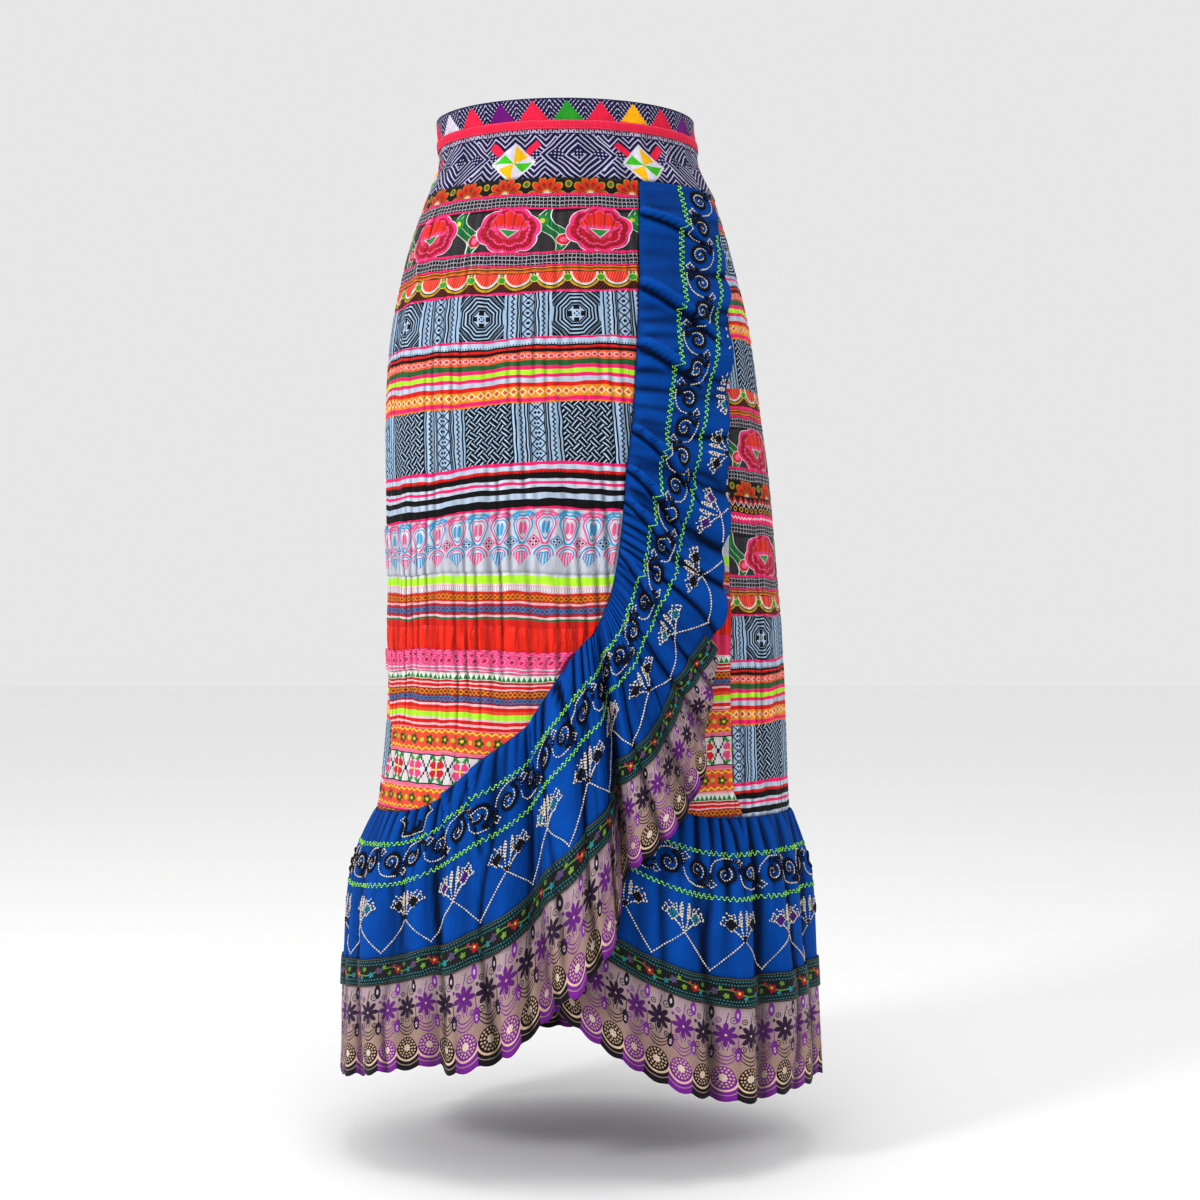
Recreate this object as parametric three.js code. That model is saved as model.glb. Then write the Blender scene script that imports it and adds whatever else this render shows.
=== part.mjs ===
// A long Hmong patchwork wrap skirt, filled out as it is worn, in millimetres with +Z up.
// The origin is the middle of the waist opening, level with the waistband's top edge.
// The front faces -Y. An angle is measured from the front towards +X, the viewer's right.
// A drop is a distance straight down from the waistband's top edge.

import * as THREE from "three";

const WAISTBAND_DEPTH = 74;

const SEAM_GAP = 0.3;
const WAISTBAND_WALL = 2;
const PANEL_WALL = 1.5;
const FLOUNCE_WALL = 1.2;
const TRIM_WALL = 1;

// The overlap panel lies this far out where it covers the underlap panel.
const OVERLAP_LIFT = PANEL_WALL + 2 * SEAM_GAP;

// Widths on the flounce strip, measured across the cloth from its gathered edge.
const PUFF_WIDTH = 22;
const FALL_WIDTH = 70;
const BLUE_WIDTH = 149;
const RIBBON_START = 137;
const RIBBON_WIDTH = 26;
const STRIP_WIDTH = 246;
const SCALLOP_PITCH = 22;
const SCALLOP_DEPTH = 3.5;
const SCALLOP_RUN_OUT = 10;

// The skirt's base form. The sides round away and the hips are wider than they are deep.
const FORM = [
  { drop: -20, centre: 0, half: 120, front: 91, back: 91 },
  { drop: 0, centre: 0, half: 120, front: 91, back: 91 },
  { drop: 33, centre: 3, half: 120, front: 92, back: 92 },
  { drop: 74, centre: 5, half: 135, front: 99, back: 104 },
  { drop: 130, centre: 4, half: 152, front: 105, back: 117 },
  { drop: 204, centre: 5, half: 168, front: 109, back: 125 },
  { drop: 261, centre: 7, half: 174, front: 111, back: 127 },
  { drop: 337, centre: 12, half: 179, front: 112, back: 127 },
  { drop: 413, centre: 16, half: 181.5, front: 113, back: 128 },
  { drop: 489, centre: 19.5, half: 184, front: 114, back: 129 },
  { drop: 546, centre: 20, half: 186, front: 115, back: 131 },
  { drop: 648, centre: 17, half: 193, front: 120, back: 135 },
  { drop: 707, centre: 14, half: 203, front: 132, back: 145 },
  { drop: 764, centre: 13, half: 207, front: 138, back: 150 },
  { drop: 831, centre: 14, half: 211, front: 143, back: 154 },
  { drop: 920, centre: 14, half: 213, front: 146, back: 157 },
];

// The overlap panel's free edge, straight at first and then curving round to the left side.
// Each row of the panel runs from sideDrop at the side seam to this edge.
const OVERLAP_EDGE = [
  { drop: 74.3, angle: 26.8, sideDrop: 74.3 },
  { drop: 120, angle: 24.4, sideDrop: 118 },
  { drop: 165, angle: 22.6, sideDrop: 161 },
  { drop: 210, angle: 20.7, sideDrop: 203 },
  { drop: 255, angle: 19, sideDrop: 245 },
  { drop: 302, angle: 16.4, sideDrop: 288 },
  { drop: 337, angle: 14, sideDrop: 322 },
  { drop: 371, angle: 12.5, sideDrop: 352 },
  { drop: 402, angle: 11, sideDrop: 381 },
  { drop: 438, angle: 8.5, sideDrop: 409 },
  { drop: 462, angle: 5.6, sideDrop: 433 },
  { drop: 482, angle: 2, sideDrop: 454 },
  { drop: 500, angle: -3, sideDrop: 474 },
  { drop: 522, angle: -7.6, sideDrop: 494 },
  { drop: 543, angle: -11.7, sideDrop: 513 },
  { drop: 560, angle: -15, sideDrop: 531 },
  { drop: 577, angle: -21, sideDrop: 549 },
  { drop: 594, angle: -28, sideDrop: 567 },
  { drop: 615, angle: -35.5, sideDrop: 584 },
  { drop: 632, angle: -42, sideDrop: 600 },
  { drop: 642, angle: -52, sideDrop: 615 },
  { drop: 645.5, angle: -66, sideDrop: 629 },
  { drop: 647, angle: -79, sideDrop: 640 },
  { drop: 648, angle: -84, sideDrop: 647 },
];

// The seam at the left side, where the overlap panel meets the back panel.
const SIDE_SEAM = [
  { drop: 60, angle: -88 },
  { drop: 500, angle: -88 },
  { drop: 549, angle: -75 },
  { drop: 586, angle: -71 },
  { drop: 604, angle: -73 },
  { drop: 624, angle: -77 },
  { drop: 650, angle: -88 },
];

// The seam at the right front, where the back panel meets the underlap panel.
const FRONT_SEAM = [
  { drop: 60, angle: 68 },
  { drop: 174, angle: 62 },
  { drop: 342, angle: 49.5 },
  { drop: 451, angle: 45.5 },
  { drop: 541, angle: 43.9 },
  { drop: 613, angle: 44.2 },
  { drop: 650, angle: 48.6 },
];

// The underlap panel's hidden edge, cut like the overlap edge but turned the other way.
const UNDERLAP_EDGE = [
  { drop: 74.3, angle: -46, seamDrop: 74.3 },
  { drop: 165, angle: -42, seamDrop: 160 },
  { drop: 302, angle: -36, seamDrop: 286 },
  { drop: 371, angle: -33, seamDrop: 345 },
  { drop: 438, angle: -29, seamDrop: 400 },
  { drop: 477, angle: -26, seamDrop: 438 },
  { drop: 512, angle: -20, seamDrop: 474 },
  { drop: 544, angle: -12, seamDrop: 510 },
  { drop: 575, angle: -4, seamDrop: 544 },
  { drop: 597, angle: 3, seamDrop: 570 },
  { drop: 618, angle: 12, seamDrop: 594 },
  { drop: 634, angle: 22, seamDrop: 616 },
  { drop: 645, angle: 34, seamDrop: 634 },
  { drop: 648, angle: 44, seamDrop: 647 },
];

// The front flounce, down the overlap edge as a cascade and on round the curve to the left side.
// A row is one line across the strip: where it is sewn on, and where its free edge hangs.
// stand is how far the free edge stands off the base form, and width the cloth that shows.
const FRONT_FLOUNCE = [
  { angle: 26.8, drop: 75, freeAngle: 61, freeDrop: 75.2, stand: 7, width: 62 },
  { angle: 25.5, drop: 100, freeAngle: 64, freeDrop: 98, stand: 8, width: 68 },
  { angle: 24.1, drop: 128, freeAngle: 61, freeDrop: 131, stand: 10, width: 75 },
  { angle: 22.6, drop: 165, freeAngle: 58.5, freeDrop: 165, stand: 11, width: 81 },
  { angle: 20.7, drop: 210, freeAngle: 53, freeDrop: 212, stand: 12, width: 85 },
  { angle: 19, drop: 255, freeAngle: 50, freeDrop: 258, stand: 13, width: 92 },
  { angle: 16.4, drop: 302, freeAngle: 45.6, freeDrop: 318, stand: 14, width: 105 },
  { angle: 14, drop: 337, freeAngle: 43.2, freeDrop: 372, stand: 15, width: 118 },
  { angle: 12.5, drop: 371, freeAngle: 40.5, freeDrop: 420, stand: 17, width: 132 },
  { angle: 11.2, drop: 398, freeAngle: 37.5, freeDrop: 470, stand: 19, width: 148 },
  { angle: 9.9, drop: 419, freeAngle: 34.5, freeDrop: 510, stand: 21, width: 174 },
  { angle: 8.5, drop: 437, freeAngle: 31.5, freeDrop: 548, stand: 24, width: 204 },
  { angle: 7.6, drop: 447, freeAngle: 29.5, freeDrop: 585, stand: 27, width: 232 },
  { angle: 6.9, drop: 453, freeAngle: 28, freeDrop: 617, stand: 29, width: 246 },
  { angle: 6.2, drop: 458, freeAngle: 23.6, freeDrop: 642, stand: 31, width: 246 },
  { angle: 5.6, drop: 462, freeAngle: 18.5, freeDrop: 664, stand: 32, width: 246 },
  { angle: 5, drop: 465.5, freeAngle: 13.4, freeDrop: 680, stand: 31, width: 246 },
  { angle: 4.6, drop: 467.5, freeAngle: 12.6, freeDrop: 684, stand: 22, width: 246 },
  { angle: 4.2, drop: 470, freeAngle: 11.9, freeDrop: 688, stand: 13, width: 246 },
  { angle: 3.6, drop: 473, freeAngle: 10.8, freeDrop: 699, stand: 9.5, width: 246 },
  { angle: 3.1, drop: 476, freeAngle: 9.9, freeDrop: 718, stand: 11, width: 246 },
  { angle: 2.6, drop: 479, freeAngle: 9.5, freeDrop: 733, stand: 18, width: 246 },
  { angle: 1.8, drop: 482.5, freeAngle: 8.7, freeDrop: 745, stand: 25, width: 246 },
  { angle: 0.6, drop: 486.5, freeAngle: 7, freeDrop: 757, stand: 29, width: 246 },
  { angle: -1.8, drop: 495, freeAngle: 3.4, freeDrop: 772, stand: 31, width: 246 },
  { angle: -6, drop: 515, freeAngle: 0, freeDrop: 792, stand: 30, width: 246 },
  { angle: -10.3, drop: 536, freeAngle: -2.8, freeDrop: 797, stand: 26, width: 246 },
  { angle: -12, drop: 545, freeAngle: -4.2, freeDrop: 801, stand: 18, width: 246 },
  { angle: -13.3, drop: 552, freeAngle: -5.8, freeDrop: 812, stand: 11.5, width: 246 },
  { angle: -15.5, drop: 562, freeAngle: -9.8, freeDrop: 827, stand: 12, width: 246 },
  { angle: -21, drop: 577, freeAngle: -15.6, freeDrop: 848, stand: 15, width: 246 },
  { angle: -28, drop: 594, freeAngle: -23.7, freeDrop: 860, stand: 18, width: 246 },
  { angle: -33, drop: 608, freeAngle: -28.5, freeDrop: 866, stand: 18, width: 246 },
  { angle: -35.5, drop: 615, freeAngle: -31, freeDrop: 865, stand: 14, width: 246 },
  { angle: -38.5, drop: 623, freeAngle: -33.5, freeDrop: 861, stand: 11.5, width: 246 },
  { angle: -43, drop: 633, freeAngle: -39.6, freeDrop: 865, stand: 14, width: 246 },
  { angle: -53, drop: 642.5, freeAngle: -49.5, freeDrop: 873, stand: 15, width: 246 },
  { angle: -67, drop: 645.5, freeAngle: -62.5, freeDrop: 884, stand: 13, width: 246 },
  { angle: -79, drop: 647, freeAngle: -77.5, freeDrop: 892, stand: 13, width: 246 },
  { angle: -87.9, drop: 648, freeAngle: -87.9, freeDrop: 896, stand: 13, width: 246 },
];

// The hem flounce, from the left side round the back to the right side.
const BACK_FLOUNCE = [
  { angle: 271.95, drop: 648, freeAngle: 271.95, freeDrop: 896, stand: 13, width: 246 },
  { angle: 180, drop: 648, freeAngle: 180, freeDrop: 897, stand: 13, width: 246 },
  { angle: 90, drop: 648, freeAngle: 90, freeDrop: 897, stand: 13, width: 246 },
];

// The hem flounce from the right side along the underlap panel, ending behind the front flounce.
const UNDERLAP_FLOUNCE = [
  { angle: 89.85, drop: 648, freeAngle: 89.85, freeDrop: 897, stand: 13, width: 246 },
  { angle: 62, drop: 648, freeAngle: 61, freeDrop: 895, stand: 13, width: 246 },
  { angle: 44, drop: 648, freeAngle: 42, freeDrop: 895, stand: 13, width: 246 },
  { angle: 34, drop: 645, freeAngle: 30, freeDrop: 888, stand: 11, width: 246 },
  { angle: 22, drop: 634, freeAngle: 17, freeDrop: 868, stand: 7, width: 246 },
  { angle: 12, drop: 618, freeAngle: 6, freeDrop: 842, stand: 4, width: 246 },
  { angle: 3, drop: 597, freeAngle: -4, freeDrop: 813, stand: 3, width: 246 },
  { angle: -4, drop: 575, freeAngle: -11, freeDrop: 792, stand: 3, width: 246 },
  { angle: -11, drop: 547, freeAngle: -18, freeDrop: 768, stand: 3, width: 246 },
];

// Trims laid on the overlap panel, from one drop to another.
const PANEL_TRIMS = [
  { name: "eyelet_lace", top: 371, bottom: 427, scallop: 18, rise: 3, colour: 0xe6c2d2 },
  { name: "pink_lace", top: 496, bottom: 516, scallop: 12, rise: 2, colour: 0xff5a86 },
];

const radians = THREE.MathUtils.degToRad;
const mix = THREE.MathUtils.lerp;
const ease = THREE.MathUtils.smoothstep;

// Follows one column of a table smoothly, without overshooting any row.
function columnCurve(rows, along, column) {
  const x = rows.map((row) => row[along]);
  const y = rows.map((row) => row[column]);
  const steps = x.slice(1).map((value, i) => (y[i + 1] - y[i]) / (value - x[i]));
  const tangents = y.map((_, i) => {
    const before = steps[Math.max(i - 1, 0)];
    const after = steps[Math.min(i, steps.length - 1)];
    return before * after > 0 ? (2 * before * after) / (before + after) : 0;
  });
  return (value) => {
    let i = 0;
    while (i < x.length - 2 && value > x[i + 1]) i += 1;
    const span = x[i + 1] - x[i];
    const t = THREE.MathUtils.clamp((value - x[i]) / span, 0, 1);
    const rise = 3 * t * t - 2 * t * t * t;
    const start = t * (1 - t) * (1 - t) * span * tangents[i];
    const end = t * t * (t - 1) * span * tangents[i + 1];
    return mix(y[i], y[i + 1], rise) + start + end;
  };
}

const form = {
  centre: columnCurve(FORM, "drop", "centre"),
  half: columnCurve(FORM, "drop", "half"),
  front: columnCurve(FORM, "drop", "front"),
  back: columnCurve(FORM, "drop", "back"),
};

// A point at an angle and a drop, standing off the base form.
function onForm(angle, drop, stand) {
  const turn = radians(angle);
  const depth = Math.cos(turn) > 0 ? form.front(drop) : form.back(drop);
  return new THREE.Vector3(
    form.centre(drop) + (form.half(drop) + stand) * Math.sin(turn),
    -(depth + stand) * Math.cos(turn),
    -drop,
  );
}

// A closed wall of even thickness about a grid of points. point(u, v) runs with u clockwise
// seen from above and v downwards, so that the outer face is turned away from the wearer.
function wall(point, columns, rows, thickness, ring = false) {
  const step = 1e-3;
  const places = [];
  const last = ring ? columns - 1 : columns;
  for (const side of [0.5, -0.5]) {
    for (let i = 0; i <= last; i += 1) {
      for (let j = 0; j <= rows; j += 1) {
        const u = i / columns;
        const v = j / rows;
        const u0 = ring ? u - step : Math.max(u - step, 0);
        const u1 = ring ? u + step : Math.min(u + step, 1);
        const along = point(u1, v).sub(point(u0, v));
        const down = point(u, Math.min(v + step, 1)).sub(point(u, Math.max(v - step, 0)));
        const normal = along.cross(down).normalize();
        places.push(point(u, v).addScaledVector(normal, side * thickness));
      }
    }
  }
  const inner = (last + 1) * (rows + 1);
  const at = (i, j) => (i % (last + 1)) * (rows + 1) + j;
  const faces = [];
  const quad = (a, b, c, d) => faces.push(a, b, c, a, c, d);
  for (let i = 0; i < columns; i += 1) {
    for (let j = 0; j < rows; j += 1) {
      quad(at(i, j), at(i + 1, j), at(i + 1, j + 1), at(i, j + 1));
      quad(inner + at(i, j), inner + at(i, j + 1), inner + at(i + 1, j + 1), inner + at(i + 1, j));
    }
    quad(at(i, 0), inner + at(i, 0), inner + at(i + 1, 0), at(i + 1, 0));
    quad(at(i, rows), at(i + 1, rows), inner + at(i + 1, rows), inner + at(i, rows));
  }
  for (let j = 0; j < rows && !ring; j += 1) {
    quad(at(0, j), at(0, j + 1), inner + at(0, j + 1), inner + at(0, j));
    quad(at(last, j), inner + at(last, j), inner + at(last, j + 1), at(last, j + 1));
  }
  const geometry = new THREE.BufferGeometry().setFromPoints(places);
  geometry.setIndex(faces);
  geometry.computeVertexNormals();
  return geometry;
}

const skirt = new THREE.Group();
skirt.name = "hmong_skirt";

function addPiece(name, geometry, colour, roughness) {
  const material = new THREE.MeshStandardMaterial({ color: colour, roughness, metalness: 0 });
  const mesh = new THREE.Mesh(geometry, material);
  mesh.name = name;
  skirt.add(mesh);
}

// The waistband is a shaped ring, and a ribbon is sewn round it under the row of triangles.
const WAISTBAND_COLUMNS = 48;
const RIBBON_TOP = 20;
const RIBBON_BOTTOM = 28;

function waistband() {
  const bandPoint = (u, v) => onForm(-360 * u, v * WAISTBAND_DEPTH, WAISTBAND_WALL / 2);
  addPiece("waistband", wall(bandPoint, WAISTBAND_COLUMNS, 4, WAISTBAND_WALL, true), 0x2a2750, 0.85);
  const stand = WAISTBAND_WALL + 2 * SEAM_GAP + TRIM_WALL / 2;
  const ribbonPoint = (u, v) => onForm(-360 * u, mix(RIBBON_TOP, RIBBON_BOTTOM, v), stand);
  addPiece("waistband_ribbon", wall(ribbonPoint, WAISTBAND_COLUMNS, 1, TRIM_WALL, true), 0xe8284e, 0.6);
}

// The panels. Soft upright puckers run down them from the gathering at the waist, and each one
// sways a little on its way round and down.
const PUCKER_SPACING = 9.4;
const PUCKER_HEIGHT = 0.7;
const PUCKER_GROWTH = 60;
const SWAY_ROUND = 0.35;
const SWAY_ROUND_LENGTH = 17;
const SWAY_DOWN = 0.2;
const SWAY_DOWN_LENGTH = 90;
const OVERLAP_COLUMNS = 32;
const BACK_COLUMNS = 20;
const UNDERLAP_COLUMNS = 16;
const EDGE_GAP = 0.1;
const DEEPEST_VALLEY = 0.1;
const sideAngle = columnCurve(SIDE_SEAM, "drop", "angle");
const seamAngle = columnCurve(FRONT_SEAM, "drop", "angle");

function pucker(angle, drop) {
  const round = SWAY_ROUND * Math.sin(angle / SWAY_ROUND_LENGTH);
  const sway = round + SWAY_DOWN * Math.sin(drop / SWAY_DOWN_LENGTH);
  const grow = ease(drop, WAISTBAND_DEPTH, WAISTBAND_DEPTH + PUCKER_GROWTH);
  return PUCKER_HEIGHT * grow * Math.sin((2 * Math.PI * angle) / PUCKER_SPACING + sway);
}

const overlapRows = OVERLAP_EDGE.map((row, i) => ({ ...row, i }));
const PANEL_ROWS = overlapRows.length - 1;
const overlap = {
  drop: columnCurve(overlapRows, "i", "drop"),
  angle: columnCurve(overlapRows, "i", "angle"),
  sideDrop: columnCurve(overlapRows, "i", "sideDrop"),
};

// The overlap panel's stand. It drops to the level of the back panel at the side seam.
const LIFT_START = -76;
const LIFT_END = -52;

function overlapStand(angle) {
  return PANEL_WALL / 2 + OVERLAP_LIFT * ease(angle, LIFT_START, LIFT_END);
}

function overlapPoint(u, v) {
  const row = v * PANEL_ROWS;
  const sideDrop = overlap.sideDrop(row);
  const angle = mix(overlap.angle(row), sideAngle(sideDrop) + EDGE_GAP, u);
  const drop = mix(overlap.drop(row), sideDrop, u);
  return onForm(angle, drop, overlapStand(angle) + Math.max(pucker(angle, drop), -DEEPEST_VALLEY));
}

function panels() {
  addPiece("overlap_panel", wall(overlapPoint, OVERLAP_COLUMNS, PANEL_ROWS, PANEL_WALL), 0xe2241f, 0.8);

  const backPoint = (u, v) => {
    const drop = overlap.sideDrop(v * PANEL_ROWS);
    const side = 360 + sideAngle(drop) - EDGE_GAP;
    const angle = mix(side, seamAngle(drop) + EDGE_GAP, u);
    return onForm(angle, drop, PANEL_WALL / 2);
  };
  addPiece("back_panel", wall(backPoint, BACK_COLUMNS, PANEL_ROWS, PANEL_WALL), 0x9db3cc, 0.85);

  const rows = UNDERLAP_EDGE.map((row, i) => ({ ...row, i }));
  const edgeDrop = columnCurve(rows, "i", "drop");
  const edgeAngle = columnCurve(rows, "i", "angle");
  const seamDrop = columnCurve(rows, "i", "seamDrop");
  const underlapPoint = (u, v) => {
    const row = v * (rows.length - 1);
    const angle = mix(seamAngle(seamDrop(row)) - EDGE_GAP, edgeAngle(row), u);
    return onForm(angle, mix(seamDrop(row), edgeDrop(row), u), PANEL_WALL / 2);
  };
  const shape = wall(underlapPoint, UNDERLAP_COLUMNS, rows.length - 1, PANEL_WALL);
  addPiece("underlap_panel", shape, 0xe4502c, 0.8);
}

// Lace laid on the overlap panel, level all along, with a scalloped top edge. It ends a little
// short of the panel's free edge and of the side seam.
const TRIM_EDGE_INSET = 0.8;
const TRIM_SEAM_INSET = 1;

function panelTrims() {
  for (const trim of PANEL_TRIMS) {
    const edge = columnCurve(OVERLAP_EDGE, "drop", "angle");
    const trimPoint = (u, v) => {
      const scallop = trim.rise * Math.abs(Math.sin(Math.PI * trim.scallop * u));
      const drop = mix(trim.top + trim.rise - scallop, trim.bottom, v);
      const angle = mix(edge(drop) - TRIM_EDGE_INSET, sideAngle(drop) + TRIM_SEAM_INSET, u);
      const lift = PANEL_WALL / 2 + PUCKER_HEIGHT + SEAM_GAP + TRIM_WALL / 2;
      return onForm(angle, drop, overlapStand(angle) + lift);
    };
    addPiece(trim.name, wall(trimPoint, 2 * trim.scallop, 2, TRIM_WALL), trim.colour, 0.7);
  }
}

// The flounce strip. Its shape across is a quick puff out of the gathers and then a long fall.
// The waves along it drift in pace and in size, and they die away at its ends and wherever the
// strip lies close on the panels.
const PUFF = 9;
const GATHER_HEIGHT = 32;
const GATHERS_PER_WAVE = 2.6;
const PACE_DRIFT = 0.9;
const PACE_DRIFTS = 2.6;
const SIZE_DRIFT = 0.25;
const SIZE_DRIFTS = 3.7;
const WAVE_AT_SEAM = 0.35;
const FLAT_STAND = 3;
const FULL_STAND = 12;
const END_SHARE = 0.03;
const LONG_TURN = 60;
const LONG_TURN_FULLNESS = 1.12;

function flounce(rows, options) {
  const { waves, depth, spread, seatStand } = options;
  // The rows are spaced by the length of the free edge, so that the scallops come out even.
  let run = 0;
  const placed = rows.map((row, i) => {
    if (i > 0) {
      const before = rows[i - 1];
      const fall = onForm(row.freeAngle, row.freeDrop, row.stand);
      const span = fall.distanceTo(onForm(before.freeAngle, before.freeDrop, before.stand));
      const long = Math.abs(row.angle - before.angle) > LONG_TURN;
      run += spread * span * (long ? LONG_TURN_FULLNESS : 1);
    }
    return { ...row, run };
  });
  const curve = {};
  for (const column of ["angle", "drop", "freeAngle", "freeDrop", "stand", "width"]) {
    curve[column] = columnCurve(placed, "run", column);
  }
  const point = (s, across) => {
    const at = s * run;
    const width = curve.width(at);
    const q = across / width;
    const angle = mix(curve.angle(at), curve.freeAngle(at), q);
    const drop = mix(curve.drop(at), curve.freeDrop(at), q);
    const seat = seatStand(curve.angle(at));
    const rise = 1 - Math.exp(-PUFF * q);
    const ends = ease(s, 0, END_SHARE) * (1 - ease(s, 1 - END_SHARE, 1));
    const turns = 2 * Math.PI * s;
    const beat = waves * turns + PACE_DRIFT * Math.sin(PACE_DRIFTS * turns + 1);
    const size = depth * (1 - SIZE_DRIFT + SIZE_DRIFT * Math.sin(SIZE_DRIFTS * turns));
    const free = (curve.stand(at) - FLAT_STAND) / (FULL_STAND - FLAT_STAND);
    const calm = ends * THREE.MathUtils.clamp(free, 0, 1);
    const wave = size * rise * mix(WAVE_AT_SEAM, 1, q) * Math.sin(beat);
    const gather = GATHER_HEIGHT * q * Math.exp(-PUFF * q) * Math.sin(GATHERS_PER_WAVE * beat);
    return onForm(angle, drop, mix(seat, curve.stand(at), rise) + calm * (wave + gather));
  };
  return { point, length: run, width: (s) => curve.width(s * run) };
}

// A strip of the flounce through rows at set distances across it, in columns along it.
function flounceStrip(strip, perScallop, { across, start, thickness, lift }) {
  const scallops = Math.round(strip.length / SCALLOP_PITCH);
  const whole = perScallop * scallops;
  const first = Math.ceil(start * whole);
  const rows = across.length - 1;
  const surface = (u, v) => {
    const s = mix(first / whole, 1, u);
    const row = Math.min(Math.floor(v * rows), rows - 1);
    const distance = mix(across[row], across[row + 1], v * rows - row);
    const rise = SCALLOP_DEPTH * (1 - Math.abs(Math.sin(Math.PI * s * scallops)));
    const hem = rise * ease(distance, STRIP_WIDTH - SCALLOP_RUN_OUT, STRIP_WIDTH);
    return strip.point(s, Math.min(distance, strip.width(s)) - hem);
  };
  const step = 1e-3;
  const raised = (u, v) => {
    const along = surface(Math.min(u + step, 1), v).sub(surface(Math.max(u - step, 0), v));
    const down = surface(u, Math.min(v + step, 1)).sub(surface(u, Math.max(v - step, 0)));
    return surface(u, v).addScaledVector(along.cross(down).normalize(), lift);
  };
  return wall(lift ? raised : surface, whole - first, rows, thickness);
}

// One length of flounce: blue cloth, net lace below it, and a beaded ribbon over their join.
function addFlounce(name, strip, perScallop, ribbonStart, laceStart) {
  const ribbonEnd = RIBBON_START + RIBBON_WIDTH;
  const under = { thickness: FLOUNCE_WALL, lift: 0 };
  const over = { thickness: TRIM_WALL, lift: FLOUNCE_WALL / 2 + 3 * SEAM_GAP + TRIM_WALL / 2 };
  const cloth = { across: [0, PUFF_WIDTH, FALL_WIDTH, RIBBON_START, BLUE_WIDTH], start: 0, ...under };
  const laceAcross = [BLUE_WIDTH + SEAM_GAP, ribbonEnd, STRIP_WIDTH];
  const lace = { across: laceAcross, start: laceStart, ...under };
  const ribbon = { across: [RIBBON_START, BLUE_WIDTH + SEAM_GAP, ribbonEnd], start: ribbonStart, ...over };
  addPiece(name + "_cloth", flounceStrip(strip, perScallop, cloth), 0x0b4fa8, 0.75);
  addPiece(name + "_lace", flounceStrip(strip, perScallop, lace), 0xcdb3a8, 0.8);
  addPiece(name + "_ribbon", flounceStrip(strip, perScallop, ribbon), 0x1c1c1c, 0.6);
}

// Where along the front flounce its visible width first takes in the ribbon and the lace.
const SEARCH_STEP = 0.002;
const LACE_SHOWING = 12;

function firstWide(strip, width) {
  let s = 0;
  while (strip.width(s) < width) s += SEARCH_STEP;
  return s;
}

function flounces() {
  const onPanel = PANEL_WALL + 2 * SEAM_GAP + FLOUNCE_WALL / 2;
  const onOverlap = (angle) => overlapStand(angle) + onPanel - PANEL_WALL / 2;
  const onBack = () => onPanel;
  const front = flounce(FRONT_FLOUNCE, { waves: 9, depth: 2, spread: 1, seatStand: onOverlap });
  const ribbonFrom = firstWide(front, RIBBON_START + RIBBON_WIDTH);
  const laceFrom = firstWide(front, BLUE_WIDTH + LACE_SHOWING);
  addFlounce("front_flounce", front, 3, ribbonFrom, laceFrom);
  const back = flounce(BACK_FLOUNCE, { waves: 13, depth: 5, spread: 1.1, seatStand: onBack });
  addFlounce("back_flounce", back, 2, 0, 0);
  const under = flounce(UNDERLAP_FLOUNCE, { waves: 6, depth: 4, spread: 1, seatStand: onBack });
  addFlounce("underlap_flounce", under, 2, 0, 0);
}

waistband();
panels();
panelTrims();
flounces();

export default skirt;
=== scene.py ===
# A long Hmong patchwork wrap skirt, filled out as it is worn, seen from the front.
# The front faces -Y and +X is the viewer's right. Cloth sizes are in millimetres and MM makes
# them metres. A drop is a distance down from the waistband's top edge.
import math

import bpy
import numpy as np
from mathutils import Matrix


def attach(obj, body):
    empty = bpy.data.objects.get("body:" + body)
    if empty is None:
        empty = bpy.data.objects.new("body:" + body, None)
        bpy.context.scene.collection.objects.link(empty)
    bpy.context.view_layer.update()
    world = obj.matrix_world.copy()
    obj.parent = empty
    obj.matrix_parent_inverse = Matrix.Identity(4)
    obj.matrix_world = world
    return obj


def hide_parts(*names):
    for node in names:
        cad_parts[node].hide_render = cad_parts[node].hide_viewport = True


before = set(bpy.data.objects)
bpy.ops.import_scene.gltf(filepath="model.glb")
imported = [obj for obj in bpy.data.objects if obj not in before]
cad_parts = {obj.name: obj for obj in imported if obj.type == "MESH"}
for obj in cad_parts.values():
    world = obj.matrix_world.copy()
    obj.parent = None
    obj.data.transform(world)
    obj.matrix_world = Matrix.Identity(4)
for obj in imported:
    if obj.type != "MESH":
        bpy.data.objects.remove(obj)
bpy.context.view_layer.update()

# Camera, lights and floor.
# The lens and place repeat the view of the photograph: level, 1.7 m off, a little to the right.
# Soft boxes stand at the upper left and right, over a white floor just below the hem.
MM = 0.001
FLOOR_DROP = 965 * MM
FLOOR_REACH = 9
EYE = (0.033, -1.7, -0.451)
camera = bpy.data.cameras.new("camera")
camera.lens = 53.7
camera_object = bpy.data.objects.new("camera", camera)
camera_object.location = EYE
camera_object.rotation_euler = (math.radians(90), 0, 0)
bpy.context.scene.collection.objects.link(camera_object)
bpy.context.scene.camera = camera_object
bpy.context.scene.view_settings.view_transform = "Standard"
bpy.context.scene.view_settings.look = "Medium High Contrast"


def linear(hex_colour):
    """An sRGB hex colour as the linear one that Blender uses."""
    parts = [int(hex_colour[i : i + 2], 16) / 255 for i in (1, 3, 5)]
    return tuple(c / 12.92 if c <= 0.04045 else ((c + 0.055) / 1.055) ** 2.4 for c in parts) + (1,)


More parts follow.
